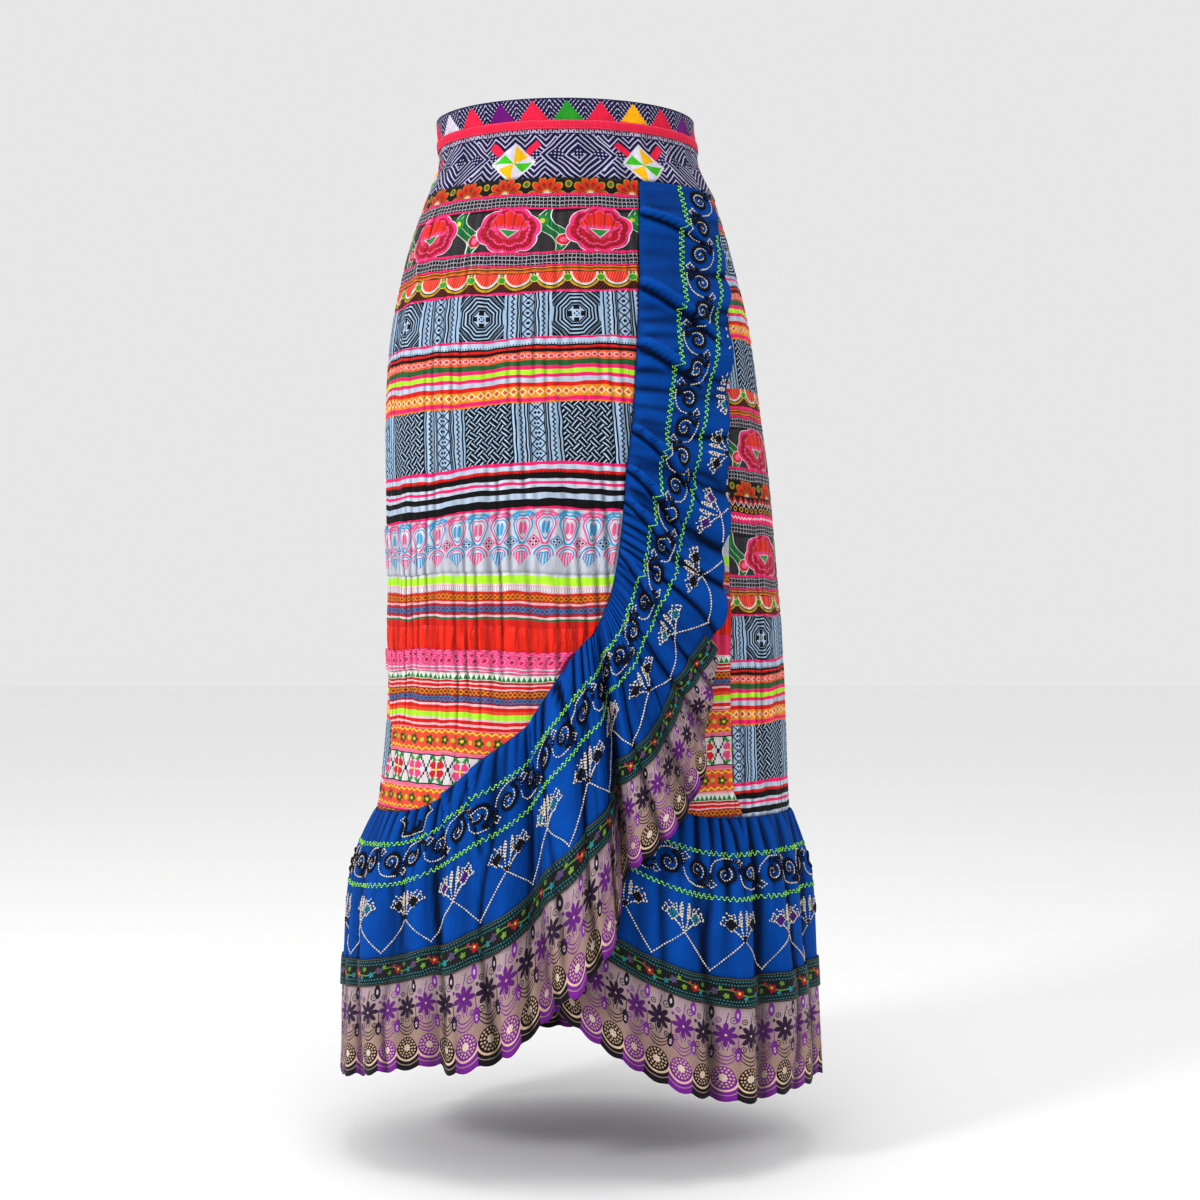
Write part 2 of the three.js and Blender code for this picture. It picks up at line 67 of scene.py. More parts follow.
def add(tree, kind, settings=None, links=None):
    """Adds a node, with its settings, and with each input linked or set."""
    node = tree.nodes.new(kind)
    for name, value in (settings or {}).items():
        setattr(node, name, value)
    for socket, source in (links or {}).items():
        source = getattr(source, "socket", source)
        if isinstance(source, bpy.types.NodeSocket):
            tree.links.new(source, node.inputs[socket])
        else:
            node.inputs[socket].default_value = source
    return node


def area_light(name, place, target, size, power):
    """A square soft box at a place, turned to face a target."""
    light = bpy.data.lights.new(name, "AREA")
    light.size = size
    light.energy = power
    lamp = bpy.data.objects.new(name, light)
    lamp.location = place
    aim = [t - p for t, p in zip(target, place)]
    heading = math.atan2(aim[0], -aim[1])
    tilt = math.atan2(math.hypot(aim[0], aim[1]), -aim[2])
    lamp.rotation_euler = (tilt, 0, heading + math.pi)
    bpy.context.scene.collection.objects.link(lamp)


area_light("key", (-2.2, -1.8, 0.6), (0, 0, -0.45), 0.5, 33)
area_light("side", (2.3, -1.7, 0.2), (0, 0, -0.5), 0.6, 4)
area_light("above", (0.05, -0.5, 1.3), (0, 0, -0.9), 0.9, 9)

world = bpy.data.worlds.new("white_studio")
world.use_nodes = True
sky = world.node_tree.nodes["Background"].inputs
sky["Color"].default_value = (1, 1, 1, 1)
sky["Strength"].default_value = 0.68
bpy.context.scene.world = world

floor_mesh = bpy.data.meshes.new("floor")
corners = [(x * FLOOR_REACH, y * FLOOR_REACH, -FLOOR_DROP) for x, y in ((-1, -1), (1, -1), (1, 1), (-1, 1))]
floor_mesh.from_pydata(corners, [], [(0, 1, 2, 3)])
floor = bpy.data.objects.new("floor", floor_mesh)
bpy.context.scene.collection.objects.link(floor)
floor_paint = bpy.data.materials.new("matt_white_paper")
floor_paint.use_nodes = True
# Matt white paper, which keeps its shadows soft.
paper = floor_paint.node_tree.nodes["Principled BSDF"].inputs
paper["Base Color"].default_value = (0.96, 0.96, 0.96, 1)
paper["Roughness"].default_value = 0.9
floor_mesh.materials.append(floor_paint)


# The skirt's base form.
# A worn skirt is a hollow tube: narrow at the waist, full at the hips, straight below them,
# and wider again under the flounce. Every piece is laid out on this form or stands off it.
def table(columns, text):
    """Reads rows of numbers under named columns."""
    names = columns.split()
    rows = [[float(cell) for cell in line.split()] for line in text.strip().splitlines()]
    return {name: np.array([row[i] for row in rows]) for i, name in enumerate(names)}


def column_curve(x, y):
    """Follows a table's column smoothly, without overshooting any row."""
    steps = np.diff(y) / np.diff(x)
    before = np.append(steps[:1], steps)
    after = np.append(steps, steps[-1:])
    same_way = before * after > 0
    tangents = np.where(same_way, 2 * before * after / np.where(same_way, before + after, 1), 0)

    def at(value):
        value = np.asarray(value, float)
        i = np.clip(np.searchsorted(x, value) - 1, 0, len(x) - 2)
        span = x[i + 1] - x[i]
        t = np.clip((value - x[i]) / span, 0, 1)
        rise = 3 * t**2 - 2 * t**3
        ends = t * (1 - t) ** 2 * span * tangents[i] + t**2 * (t - 1) * span * tangents[i + 1]
        return y[i] + (y[i + 1] - y[i]) * rise + ends

    return at


FORM = table(
    "drop centre half front back",
    """
    -20  0    120   91  91
    0    0    120   91  91
    33   3    120   92  92
    74   5    135   99  104
    130  4    152   105 117
    204  5    168   109 125
    261  7    174   111 127
    337  12   179   112 127
    413  16   181.5 113 128
    489  19.5 184   114 129
    546  20   186   115 131
    648  17   193   120 135
    707  14   203   132 145
    764  13   207   138 150
    831  14   211   143 154
    920  14   213   146 157
    """,
)
form = {name: column_curve(FORM["drop"], FORM[name]) for name in ("centre", "half", "front", "back")}


def on_form(angle, drop, stand):
    """A point at an angle from the front and a drop, standing off the base form, in metres."""
    turn = np.radians(angle)
    depth = np.where(np.cos(turn) > 0, form["front"](drop), form["back"](drop)) + stand
    across = form["centre"](drop) + (form["half"](drop) + stand) * np.sin(turn)
    return np.stack([across, -depth * np.cos(turn), -drop + 0 * angle], axis=-1) * MM


def girth_at(drop):
    """Turns an angle into the distance round the form from mid front, at one drop."""
    angles = np.linspace(-180, 400, 1161)
    places = on_form(angles, np.full_like(angles, drop), 0.0) / MM
    run = np.append(0, np.cumsum(np.linalg.norm(np.diff(places, axis=0), axis=1)))
    run -= np.interp(0, angles, run)
    return lambda angle: np.interp(angle, angles, run)


def ease(value, low, high):
    """Rises smoothly from 0 at low to 1 at high."""
    t = np.clip((value - low) / (high - low), 0, 1)
    return t * t * (3 - 2 * t)


SHARP_CREASE = 1.1


def hollows(places):
    """How deep each point of a grid lies in a fold: 1 in a sharp crease and below 0 on a ridge."""
    beside = (np.roll(places, 2, 0) + np.roll(places, -2, 0)) / 2 - places
    beside[:2] = beside[-2:] = 0
    out = np.cross(np.gradient(places, axis=0), np.gradient(places, axis=1))
    out /= np.maximum(np.linalg.norm(out, axis=-1, keepdims=True), 1e-12)
    return np.clip(np.sum(beside * out, axis=-1) / (SHARP_CREASE * MM), -0.5, 1)


def cloth_piece(name, node, places, flat, finishes, kinds, thickness, ring=False):
    """Makes a sheet of cloth from a grid of points that runs clockwise and down, and thickens it.

    flat holds the cloth's own millimetres at the top and at the foot of each row of faces, and
    kinds the number of the finish of each row, or one number for all of them.
    """
    columns, rows = places.shape[0] - 1, places.shape[1] - 1
    i, j = np.meshgrid(np.arange(columns), np.arange(rows), indexing="ij")
    i, j = i.ravel(), j.ravel()
    following = (i + 1) % columns if ring else i + 1
    kept = places[:-1] if ring else places
    stride = rows + 1
    corners = np.stack(
        [i * stride + j, following * stride + j, following * stride + j + 1, i * stride + j + 1], 1
    )
    mesh = bpy.data.meshes.new(name)
    mesh.from_pydata(kept.reshape(-1, 3).tolist(), [], corners.tolist())
    upper, lower = flat
    uv = np.stack([upper[i, j], upper[i + 1, j], lower[i + 1, j], lower[i, j]], 1) * MM
    layer = mesh.uv_layers.new(name="cloth")
    layer.data.foreach_set("uv", uv.reshape(-1).astype(np.float32))
    # The fold depth of each point, which the finishes turn into painted shade in creases and a painted
    # highlight on ridges.
    depth = hollows(places)[:-1] if ring else hollows(places)
    layer = mesh.attributes.new("hollow", "FLOAT", "POINT")
    layer.data.foreach_set("value", depth.reshape(-1).astype(np.float32))
    for finish in finishes:
        mesh.materials.append(finish)
    mesh.polygons.foreach_set("material_index", np.broadcast_to(kinds, rows)[j].astype(np.int32))
    mesh.polygons.foreach_set("use_smooth", np.ones(len(i), bool))
    mesh.update()
    piece = bpy.data.objects.new(name, mesh)
    bpy.context.scene.collection.objects.link(piece)
    wall = piece.modifiers.new("wall", "SOLIDIFY")
    wall.thickness = thickness * MM
    wall.offset = 0
    wall.use_even_offset = False
    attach(piece, "root")
    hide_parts(node)
    return piece


# The waistband.
# A shaped ring of indigo batik, drawn in wax with fine diamond mazes, with a row of cut
# triangles folded and stitched along its top and pinwheel diamonds below the ribbon.
class Wire:
    """A number at each point of the cloth. Arithmetic on it adds Math nodes."""

    def __init__(self, tree, socket):
        self.tree = tree
        self.socket = socket

    def step(self, operation, *others):
        values = dict(enumerate((self, *others)))
        node = add(self.tree, "ShaderNodeMath", {"operation": operation}, values)
        return Wire(self.tree, node.outputs[0])

    def __add__(self, other):
        return self.step("ADD", other)

    def __sub__(self, other):
        return self.step("SUBTRACT", other)

    def __rsub__(self, other):
        return self.step("MULTIPLY_ADD", -1.0, other)

    def __mul__(self, other):
        return self.step("MULTIPLY", other)

    def __truediv__(self, other):
        return self.step("DIVIDE", other)

    def __mod__(self, other):
        return self.step("FLOORED_MODULO", other)

    def __lt__(self, other):
        return self.step("LESS_THAN", other)

    def __gt__(self, other):
        return self.step("GREATER_THAN", other)

    def __and__(self, other):
        return self.step("MULTIPLY", other)

    def __or__(self, other):
        return self.step("MAXIMUM", other)

    def __abs__(self):
        return self.step("ABSOLUTE")

    def middle(self, period):
        """The distance from the middle of the repeat that a point is in."""
        return (self % period) - period / 2

    def count(self, period):
        """The number of the repeat that a point is in."""
        return (self / period).step("FLOOR")

    def waves(self, length):
        return (self * (2 * math.pi / length)).step("SINE")

    def petals(self, halves):
        """How far out the petals of a flower reach at an angle, from 0 between them to 1."""
        return abs((self * halves).step("COSINE"))

    def between(self, low, high):
        return (self > low) & (self < high)


def radius(x, y):
    return (x * x + y * y).step("SQRT")


def bearing(x, y):
    """The angle at which a point lies round a middle."""
    return y.step("ARCTAN2", x)


class Cloth:
    """A cloth finish that is built up in layers of dye, thread or applied cloth."""

    def __init__(self, name, ground, roughness=0.85, sheen=0.05, wobble=0.7):
        self.material = bpy.data.materials.new(name)
        self.material.use_nodes = True
        self.tree = self.material.node_tree
        self.shader = self.tree.nodes["Principled BSDF"]
        self.shader.inputs["Roughness"].default_value = roughness
        self.shader.inputs["Sheen Weight"].default_value = sheen
        self.shader.inputs["Sheen Roughness"].default_value = 0.4
        self.shader.inputs["Specular IOR Level"].default_value = 0.2
        self.uv = add(self.tree, "ShaderNodeUVMap", {"uv_map": "cloth"}).outputs[0]
        split = add(self.tree, "ShaderNodeSeparateXYZ", None, {0: self.uv})
        # Hand work is never quite true, so every line wavers by part of a millimetre.
        waver = add(self.tree, "ShaderNodeTexNoise", None, {"Vector": self.uv, "Scale": 90.0, "Detail": 0.0})
        bend = add(self.tree, "ShaderNodeSeparateColor", None, {0: waver.outputs["Color"]})
        aside, down = ((Wire(self.tree, bend.outputs[i]) - 0.5) * (3.0 * wobble) for i in (0, 1))
        self.x = Wire(self.tree, split.outputs[0]) * 1000.0 + aside
        self.y = Wire(self.tree, split.outputs[1]) * 1000.0 + down
        self.colour = linear(ground)
        self.height = 0.0

    def paint(self, mask, colour, raised=0.0):
        """Lays a colour, or a ramp of colours, where the mask is 1, raised by some millimetres."""
        colour = linear(colour) if isinstance(colour, str) else colour
        mix = add(
            self.tree, "ShaderNodeMix", {"data_type": "RGBA"}, {0: mask, 6: self.colour, 7: colour}
        )
        self.colour = mix.outputs[2]
        if raised:
            self.height = mask * raised + self.height

    def rings(self, distance, *rows):
        """Paints shapes one inside another, each with its reach, its colour and how far it is raised."""
        for reach, colour, raised in rows:
            self.paint(distance < reach, colour, raised)

    def choose(self, number, colours):
        """A socket that gives each repeat the next colour of a list."""
        share = (number % float(len(colours)) + 0.5) / float(len(colours))
        return self.ramp(share, [(i / len(colours), c) for i, c in enumerate(colours)])

    def ramp(self, share, stops):
        """A socket with sharp steps of colour, from a list of where each begins and its colour."""
        node = add(self.tree, "ShaderNodeValToRGB", None, {0: share})
        node.color_ramp.interpolation = "CONSTANT"
        while len(node.color_ramp.elements) < len(stops):
            node.color_ramp.elements.new(0.5)
        for element, (place, colour) in zip(node.color_ramp.elements, stops):
            element.position = place
            element.color = linear(colour)
        return node.outputs[0]

    def stripes(self, height, rows):
        """Lays stripes right across, from a list of the drop where each begins and its colour."""
        self.colour = self.ramp(self.y / height, [(y / height, c) for y, c in rows])

    def done(self, weave=1.1, weave_depth=0.08, tone=0.16, tone_size=55.0, pucker_and_painted_shade=2.0, painted_crease_shade=0.62):
        """Adds the weave, its uneven tone and the bump of all that is laid on the cloth.

        pucker_and_painted_shade is the depth of the finest upright wrinkles, too small for the mesh, and
        also how strongly their painted shade and highlight show; painted_crease_shade is how much darker
        the deepest creases are painted.
        """
        dye = {"Vector": self.uv, "Scale": tone_size, "Detail": 6.0}
        uneven = add(self.tree, "ShaderNodeTexNoise", None, dye)
        shade = Wire(self.tree, uneven.outputs[0]) * (2 * tone) + (1.0 - tone)
        fine = {"Vector": self.uv, "Scale": 1700.0, "Detail": 2.0}
        fibre = add(self.tree, "ShaderNodeTexNoise", None, fine)
        # Fibres shade each other, which deepens every dye.
        shade = shade * (Wire(self.tree, fibre.outputs[0]) * 0.36 + 0.58)
        upright = add(self.tree, "ShaderNodeCombineXYZ", None, {0: self.x * 0.22, 1: self.y * 0.022})
        tall = {"Vector": upright.outputs[0], "Scale": 1.0, "Detail": 3.0}
        wrinkle = add(self.tree, "ShaderNodeTexNoise", None, tall)
        # Painted shade: cloth is painted darker the deeper it lies in a crease, and a little lighter on a
        # ridge as a painted highlight.
        crease = add(self.tree, "ShaderNodeAttribute", {"attribute_name": "hollow"})
        shade = shade * (1.0 - Wire(self.tree, crease.outputs["Fac"]) * painted_crease_shade)
        # Painted shade and highlight: the colour is darker in the valleys of the fine wrinkles and lighter on
        # their ridges.
        shade = shade * ((Wire(self.tree, wrinkle.outputs[0]) - 0.5) * (0.16 * pucker_and_painted_shade) + 1.0)
        multiply = {"data_type": "RGBA", "blend_type": "MULTIPLY"}
        toned = add(self.tree, "ShaderNodeMix", multiply, {0: 1.0, 6: self.colour, 7: shade})
        self.tree.links.new(toned.outputs[2], self.shader.inputs["Base Color"])
        threads = self.x.waves(weave) * self.y.waves(weave)
        height = threads * weave_depth + self.height + Wire(self.tree, wrinkle.outputs[0]) * pucker_and_painted_shade
        relief = {"Strength": 0.9, "Distance": MM, "Height": height}
        bump = add(self.tree, "ShaderNodeBump", None, relief)
        self.tree.links.new(bump.outputs[0], self.shader.inputs["Normal"])
        return self.material


INDIGO = "#1e1b47"
WAX_WHITE = "#c3bfd6"
RIBBON_RED = "#e8284e"
RIBBON_TOP = 20
RIBBON_BOTTOM = 28.4
WAISTBAND_DEPTH = 74
WAISTBAND_WALL = 2
TRIM_WALL = 1
WAIST_GIRTH = 668
TRIANGLE_SPACING = WAIST_GIRTH / 22
PINWHEEL_SPACING = WAIST_GIRTH / 6


def batik_with_triangles():
    # Indigo cotton batik, crisp and matt, with plain cotton triangles turned under and sewn on.
    cloth = Cloth("indigo_batik_cotton_with_cut_triangles", INDIGO)
    x = cloth.x + TRIANGLE_SPACING / 2 - 3.0
    across = abs(x.middle(TRIANGLE_SPACING))
    chevron = (across * 1.25 + cloth.y) % 5.0
    cloth.paint((chevron < 1.5) & (((cloth.y * 0.8 - across) % 4.6) < 3.4), WAX_WHITE)
    # The top 1.2 mm is left plain indigo, the cloth's own ground, which also paints a dark shade line along
    # the rim.
    cloth.paint(cloth.y < 1.2, INDIGO)
    red, white, purple, green, yellow = RIBBON_RED, "#dcd6e6", "#74147c", "#2f9a2e", "#fbb60c"
    row = [green, red, yellow, red, purple, red, white, red, green, red, yellow, red, purple, red]
    row += [green, red, yellow, red, white, red, purple, red]
    colour = cloth.choose(x.count(TRIANGLE_SPACING), row)
    side = (cloth.y - 2.0) * 0.76 - across
    cloth.paint((side > 0.0) & (cloth.y < float(RIBBON_TOP)), colour, 0.5)
    return cloth.done(tone=0.3, tone_size=190.0, pucker_and_painted_shade=1.0)


def batik_with_pinwheels():
    # The same batik drawn in nested diamonds, with cut cotton diamonds quartered like a pinwheel.
    cloth = Cloth("indigo_batik_cotton_with_pinwheels", INDIGO)
    x = cloth.x + 46.5 + PINWHEEL_SPACING / 2
    across = x.middle(PINWHEEL_SPACING)
    small = abs(cloth.x.middle(PINWHEEL_SPACING / 6)) + abs(cloth.y - 23.0)
    big = abs((x + PINWHEEL_SPACING / 2).middle(PINWHEEL_SPACING)) + abs(cloth.y - 24.0) * 1.05
    cloth.paint((small % 5.2) < 1.7, WAX_WHITE)
    cloth.paint(big < 34.0, INDIGO)
    cloth.paint((big < 34.0) & ((big % 5.4) < 1.7), WAX_WHITE)
    cloth.paint(small < 6.0, INDIGO)
    petals = (abs(cloth.x.middle(3.1)) + abs(cloth.y.middle(3.1))) < 0.95
    cloth.paint((small < 6.0) & petals, WAX_WHITE)
    cloth.paint(((cloth.x % 2.3) < 1.1) & (cloth.y < 4.0), WAX_WHITE)
    cloth.paint(cloth.y.between(4.0, 5.0), INDIGO)
    aside = abs(across)
    down = cloth.y - 31.0
    outward = (aside - down) * 0.707
    beside = (aside + down) * 0.707
    cloth.paint((abs(outward - 20.5) < 8.0) & (abs(beside - 2.1) < 3.3), RIBBON_RED, 0.5)
    diamond = aside + abs(down)
    cloth.paint(diamond < 19.5, "#dedbe8", 0.5)
    quarter = diamond < 17.0
    turned = abs(across + down * 0.45) < abs(down - across * 0.45)
    cloth.paint(quarter & turned & ((across * down) < 0.0), "#fbc010")
    cloth.paint(quarter & (abs(down) < aside) & ((across * down) > 0.0), "#4cc22a")
    return cloth.done(tone=0.3, tone_size=190.0)


def waist_ring(name, node, slot, drops, tops, stand, finishes, kinds, thickness):
    """A ring of cloth round the waist. tops holds the drop at which the finish of each row begins."""
    angle, drop = np.meshgrid(np.linspace(180, -180, 241), drops, indexing="ij")
    places = on_form(angle, drop, stand(angle, drop))
    places[-1] = places[0]
    girth = girth_at(33)(angle)
    upper = np.stack([girth[:, :-1], drop[:, :-1] - tops], -1)
    lower = np.stack([girth[:, 1:], drop[:, 1:] - tops], -1)
    return cloth_piece(name, node, places, (upper, lower), finishes, kinds, thickness, ring=True)


def waistband():
    def stand(angle, drop):
        ripple = 0.5 * np.sin(angle / 4.1) * np.sin(drop / 11) + 0.35 * np.sin(angle / 2.3 + 1)
        return WAISTBAND_WALL / 2 + ripple * ease(drop, 0, 30)

    drops = np.concatenate([np.linspace(0, RIBBON_TOP, 8), np.linspace(24, WAISTBAND_DEPTH, 16)])
    below = drops[:-1] >= RIBBON_TOP
    tops = np.where(below, 28.0, 0.0)
    finishes = [batik_with_triangles(), batik_with_pinwheels()]
    kinds = below.astype(int)
    names = ("waistband_batik", "waistband", "indigo_batik")
    return waist_ring(*names, drops, tops, stand, finishes, kinds, WAISTBAND_WALL)


def waistband_ribbon():
    # Plain red-pink cotton ribbon with a line of stitches along each edge.
    cloth = Cloth("red_pink_cotton_ribbon", RIBBON_RED, 0.7)
    for line in (1.0, 7.4):
        cloth.paint(((cloth.x % 3.0) < 1.9) & (abs(cloth.y - line) < 0.35), "#f0607c", 0.1)

    def stand(angle, drop):
        swell = 0.5 * np.sin(np.pi * (drop - RIBBON_TOP) / (RIBBON_BOTTOM - RIBBON_TOP))
        return WAISTBAND_WALL + 0.4 + TRIM_WALL / 2 + swell + 0 * angle

    drops = np.linspace(RIBBON_TOP, RIBBON_BOTTOM, 6)
    names = ("waistband_ribbon_strip", "waistband_ribbon", "ribbon_pink")
    return waist_ring(*names, drops, RIBBON_TOP, stand, [cloth.done()], 0, TRIM_WALL)


waist_piece = waistband()
waist_ribbon_piece = waistband_ribbon()


# The banded panels.
# Each panel is pieced from level bands: wax batik, embroidered strips, woven ribbons, braid,
# gathered satin and lace, seamed edge to edge and drawn in with fine upright puckers.
BLACK = "#141316"
PINK = "#fb2a78"
BATIK_BLUE = "#a9c4e0"
LIME = "#b6f53a"
RED = "#e2241f"
DAISY_PITCH = 37.0
PEONY_PITCH = 80.0
HALF_ROUND_PITCH = 29.0
RIBBON_FLOWER_PITCH = 17.0


def daisy_band():
    # Black cotton, machine embroidered with half daisies in glossy red and gold thread.
    cloth = Cloth("black_cotton_with_half_daisies", BLACK, 0.65)
    x, y = cloth.x.middle(DAISY_PITCH), 14.5 - cloth.y
    far = radius(x, y)
    flare = bearing(x, y).petals(5.0)
    petal = flare * 4.5 + 10.5
    cloth.paint(far < petal + 1.5, "#b98a1c", 0.2)
    cloth.paint((far < petal) & (flare * far > 2.9), "#e23a1e", 0.5)
    cloth.paint((far < petal - 4.0) & (flare * far > 5.2), "#b01a14", 0.1)
    cloth.paint((flare * far < 1.5) & (far < 14.0), "#1b1512", -0.2)
    cloth.rings(far, (4.2, "#c99a22", 0.2), (3.0, "#d9d2cc", 0.3))
    gap = radius((cloth.x + DAISY_PITCH / 2).middle(DAISY_PITCH), cloth.y - 5.5)
    cloth.rings(gap, (3.2, "#c99a22", 0.2), (2.0, "#2f7a3a", 0.2))
    return cloth.done()


def check_band():
    # Black and white braid with square dots, between lines of pink piping.
    cloth = Cloth("dotted_black_and_white_braid", "#15131a", 0.75)
    cloth.paint(((cloth.x % 1.8) < 0.8) | ((cloth.y % 3.4) < 0.7), "#b4afb8", 0.3)
    dots = abs(cloth.x.middle(3.6)).step("MAXIMUM", abs(cloth.y.middle(3.4))) < 1.15
    cloth.paint(dots, "#15131a")
    cloth.paint(cloth.y < 2.2, PINK, 0.4)
    cloth.paint(cloth.y > 12.2, PINK, 0.4)
    return cloth.done()


def peony_band():
    # Dense satin stitch on black: layered red and pink peonies, with green leaves between them.
    cloth = Cloth("satin_stitched_peonies", BLACK, 0.55)
    x, y = (cloth.x + 12.0).middle(PEONY_PITCH), cloth.y - 19.0
    dash = (cloth.x * 0.8 + cloth.y * 1.3) % 2.4
    cloth.paint((dash < 0.7) & (cloth.y > 3.0), "#615c60")
    leaf_x = (cloth.x + 52.0).middle(PEONY_PITCH)
    sweep = leaf_x - y * 0.35 - y.waves(34.0) * 5.0
    leaf = abs(sweep) * 1.3 + abs(y) * 0.5
    cloth.rings(leaf, (14.2, "#e6ece2", 0.2), (12.8, "#1f7f45", 0.3))
    cloth.paint((leaf < 12.0) & (((y + abs(sweep) * 1.2) % 3.6) < 1.0), "#0f3f26")
    cloth.paint((abs(sweep) < 0.6) & (abs(y) < 16.0), "#b4dca8", 0.2)
    bud = radius(leaf_x - 9.0, (y - 9.0) * 1.1)
    cloth.rings(bud, (6.6, "#e9dcdc", 0.2), (5.8, "#d7262a", 0.3), (3.2, "#ff6a9c", 0.2))
    sprig = radius(leaf_x + 10.0, (y + 9.0) * 1.1)
    cloth.rings(sprig, (5.6, "#2b9448", 0.3), (2.4, "#e8d84a", 0.2))
    turn = bearing(x, y)
    flare = (turn + 0.2).petals(4.0)
    far = radius(x, y * 1.42)
    # Each ring of petals has its wave, its reach, its colour and how far it is raised.
    for wave, reach, colour, raised in (
        (3.0, 27.5, "#ecd9dc", 0.2),
        (3.0, 26.4, "#f53a86", 0.4),
        (3.0, 23.0, "#b8142c", 0.3),
        (2.6, 18.4, "#ff5a9a", 0.3),
        (2.6, 16.2, "#c41a2c", 0.3),
        (2.0, 11.0, "#ff4f90", 0.2),
    ):
        cloth.paint(far < flare * wave + reach, colour, raised)
    # The top petals fan out from below the heart.
    fan = x * 20.0 / (22.0 - y)
    scallop = abs((fan + 3.0).middle(6.0)) * 0.9
    spread = radius(x * 0.78, y + 2.0) + scallop
    crown = (spread < 15.6) & (y < 1.0 - scallop)
    cloth.paint(crown, "#fb4f8e", 0.2)
    cloth.paint(crown & (y < -2.5 - scallop) & (spread < 14.4), "#ec3524", 0.3)
    cloth.paint(crown & (abs(fan.middle(6.0)) < 0.4), "#a8141c", -0.1)
    heart = radius(x, (y - 1.0) * 1.15)
    cup = abs(x) * 0.85 + y
    cloth.paint((heart < 9.2) & (y > -0.4), "#d63a62", 0.1)
    cloth.paint((cup < 7.6) & (y > -0.6), "#f0cfd6", 0.1)
    cloth.paint((cup < 6.4) & (y > 0.2), "#2b9448", 0.3)
    threads = ((turn * 34.0).step("SINE") > 0.45) & far.between(9.0, 25.0) & (1.0 - crown)
    cloth.paint(threads * 0.5, "#6d0818")
    return cloth.done(weave=0.9)


def gold_lines():
    # Woven braid in narrow lines of pink, red and gold.
    cloth = Cloth("pink_and_gold_line_braid", PINK, 0.6)
    rows = [(0, PINK), (1.4, "#7a1230"), (2.2, "#d4a017"), (3.2, BLACK)]
    cloth.stripes(7.0, rows + [(4.0, "#e2532c"), (5.4, "#c99a1a"), (6.2, "#6b1020")])
    return cloth.done()


def scallop_band():
    # Dark cotton with half rounds in red, edged with white and gold chain stitch.
    cloth = Cloth("scalloped_red_embroidery", "#2a1012", 0.6)
    cloth.paint(((cloth.x + cloth.y) % 3.0) < 0.7, "#8a3b20")
    x = cloth.x.middle(HALF_ROUND_PITCH)
    far = radius(x, cloth.y * 1.05)
    cloth.rings(far, (15.6, "#c8a11e", 0.3), (13.6, "#1e2a18", 0), (12.6, "#efdfd6", 0.4))
    cloth.paint(far < 10.6, "#e8352c", 0.3)
    cloth.paint((far < 10.6) & (((x + cloth.y * 0.4) % 2.4) < 0.7), "#ff7a5c", 0.1)
    leaf = radius((cloth.x + HALF_ROUND_PITCH / 2).middle(HALF_ROUND_PITCH), (cloth.y - 5.5) * 1.3)
    cloth.rings(leaf, (4.2, "#d9d24a", 0.2), (3.2, "#3aa03c", 0.3))
    cloth.paint(cloth.y > 16.2, PINK, 0.4)
    return cloth.done()


def batik_columns(cloth, aside, low):
    """Upright bars, zigzags and a chain of crosses between the batik squares."""
    y = cloth.y
    cloth.paint(abs(aside - low) < 0.7, BLACK)
    cloth.paint(abs(aside - (low + 4.5) - abs(y.middle(4.4)) + 1.1) < 0.8, BLACK)
    cloth.paint(abs(aside - (low + 8.5)) < 0.7, BLACK)
    cloth.paint(abs(aside - (low + 11.0)) < 0.6, BLACK)
    chain = aside - (low + 17.5)
    cloth.paint(abs(chain).between(4.6, 5.6), BLACK)
    cloth.paint(abs(abs(chain) - abs(y.middle(9.2))) < 0.75, BLACK)
    cloth.paint((abs(chain) + abs((y + 4.6).middle(9.2))) < 1.5, BLACK)


def octagon_batik():
    # Pale blue cotton batik: nested octagons with a crossed centre, cracked wax lines, matt.
    cloth = Cloth("pale_blue_batik_with_octagons", BATIK_BLUE)
    x = (cloth.x + 35.0).middle(84.0)
    aside = abs(x)
    up = abs(cloth.y - 20.0)
    square = (aside < 21.0) & (up < 20.0)
    eight = aside.step("MAXIMUM", up).step("MAXIMUM", (aside + up) * 0.73)
    batik_columns(cloth, aside, 24.0)
    corner = (aside + up) * 0.73 > 20.0
    rings = ((eight + 0.6) % 3.1) < 1.75
    cloth.paint(square, BATIK_BLUE)
    cloth.paint(square & rings & (eight > 8.0), BLACK)
    cloth.paint(square & corner & (((aside + up) % 3.0) < 1.5), BLACK)
    cloth.paint(eight < 8.2, BLACK)
    cross = (abs(aside - up) < 0.8) | (abs(aside - 3.0) < 0.7) | (abs(up - 3.0) < 0.7)
    cloth.paint((eight < 7.0) & cross, "#b9cde6")
    return cloth.done(tone=0.12)


def maze_batik():
    # The same batik drawn as a key fret in squares between barred columns.
    cloth = Cloth("pale_blue_batik_with_key_frets", BATIK_BLUE)
    x = (cloth.x + 31.0).middle(88.0)
    aside = abs(x)
    up = cloth.y - 26.0
    square = aside < 22.0
    batik_columns(cloth, aside, 25.0)
    cloth.paint(square, "#b4cce6")
    cell = 7.2
    rising = (x + up) / 1.42
    falling = (x - up) / 1.42
    turned = ((rising.count(cell) + falling.count(cell)) % 2.0) > 0.5
    first = (abs(rising.middle(cell)) % 2.4) < 1.25
    second = (abs(falling.middle(cell)) % 2.4) < 1.25
    cloth.paint(square & turned & first, BLACK)
    cloth.paint(square & (1.0 - turned) & second, BLACK)
    cloth.paint(aside.between(21.4, 22.6), BLACK)
    return cloth.done(tone=0.12)


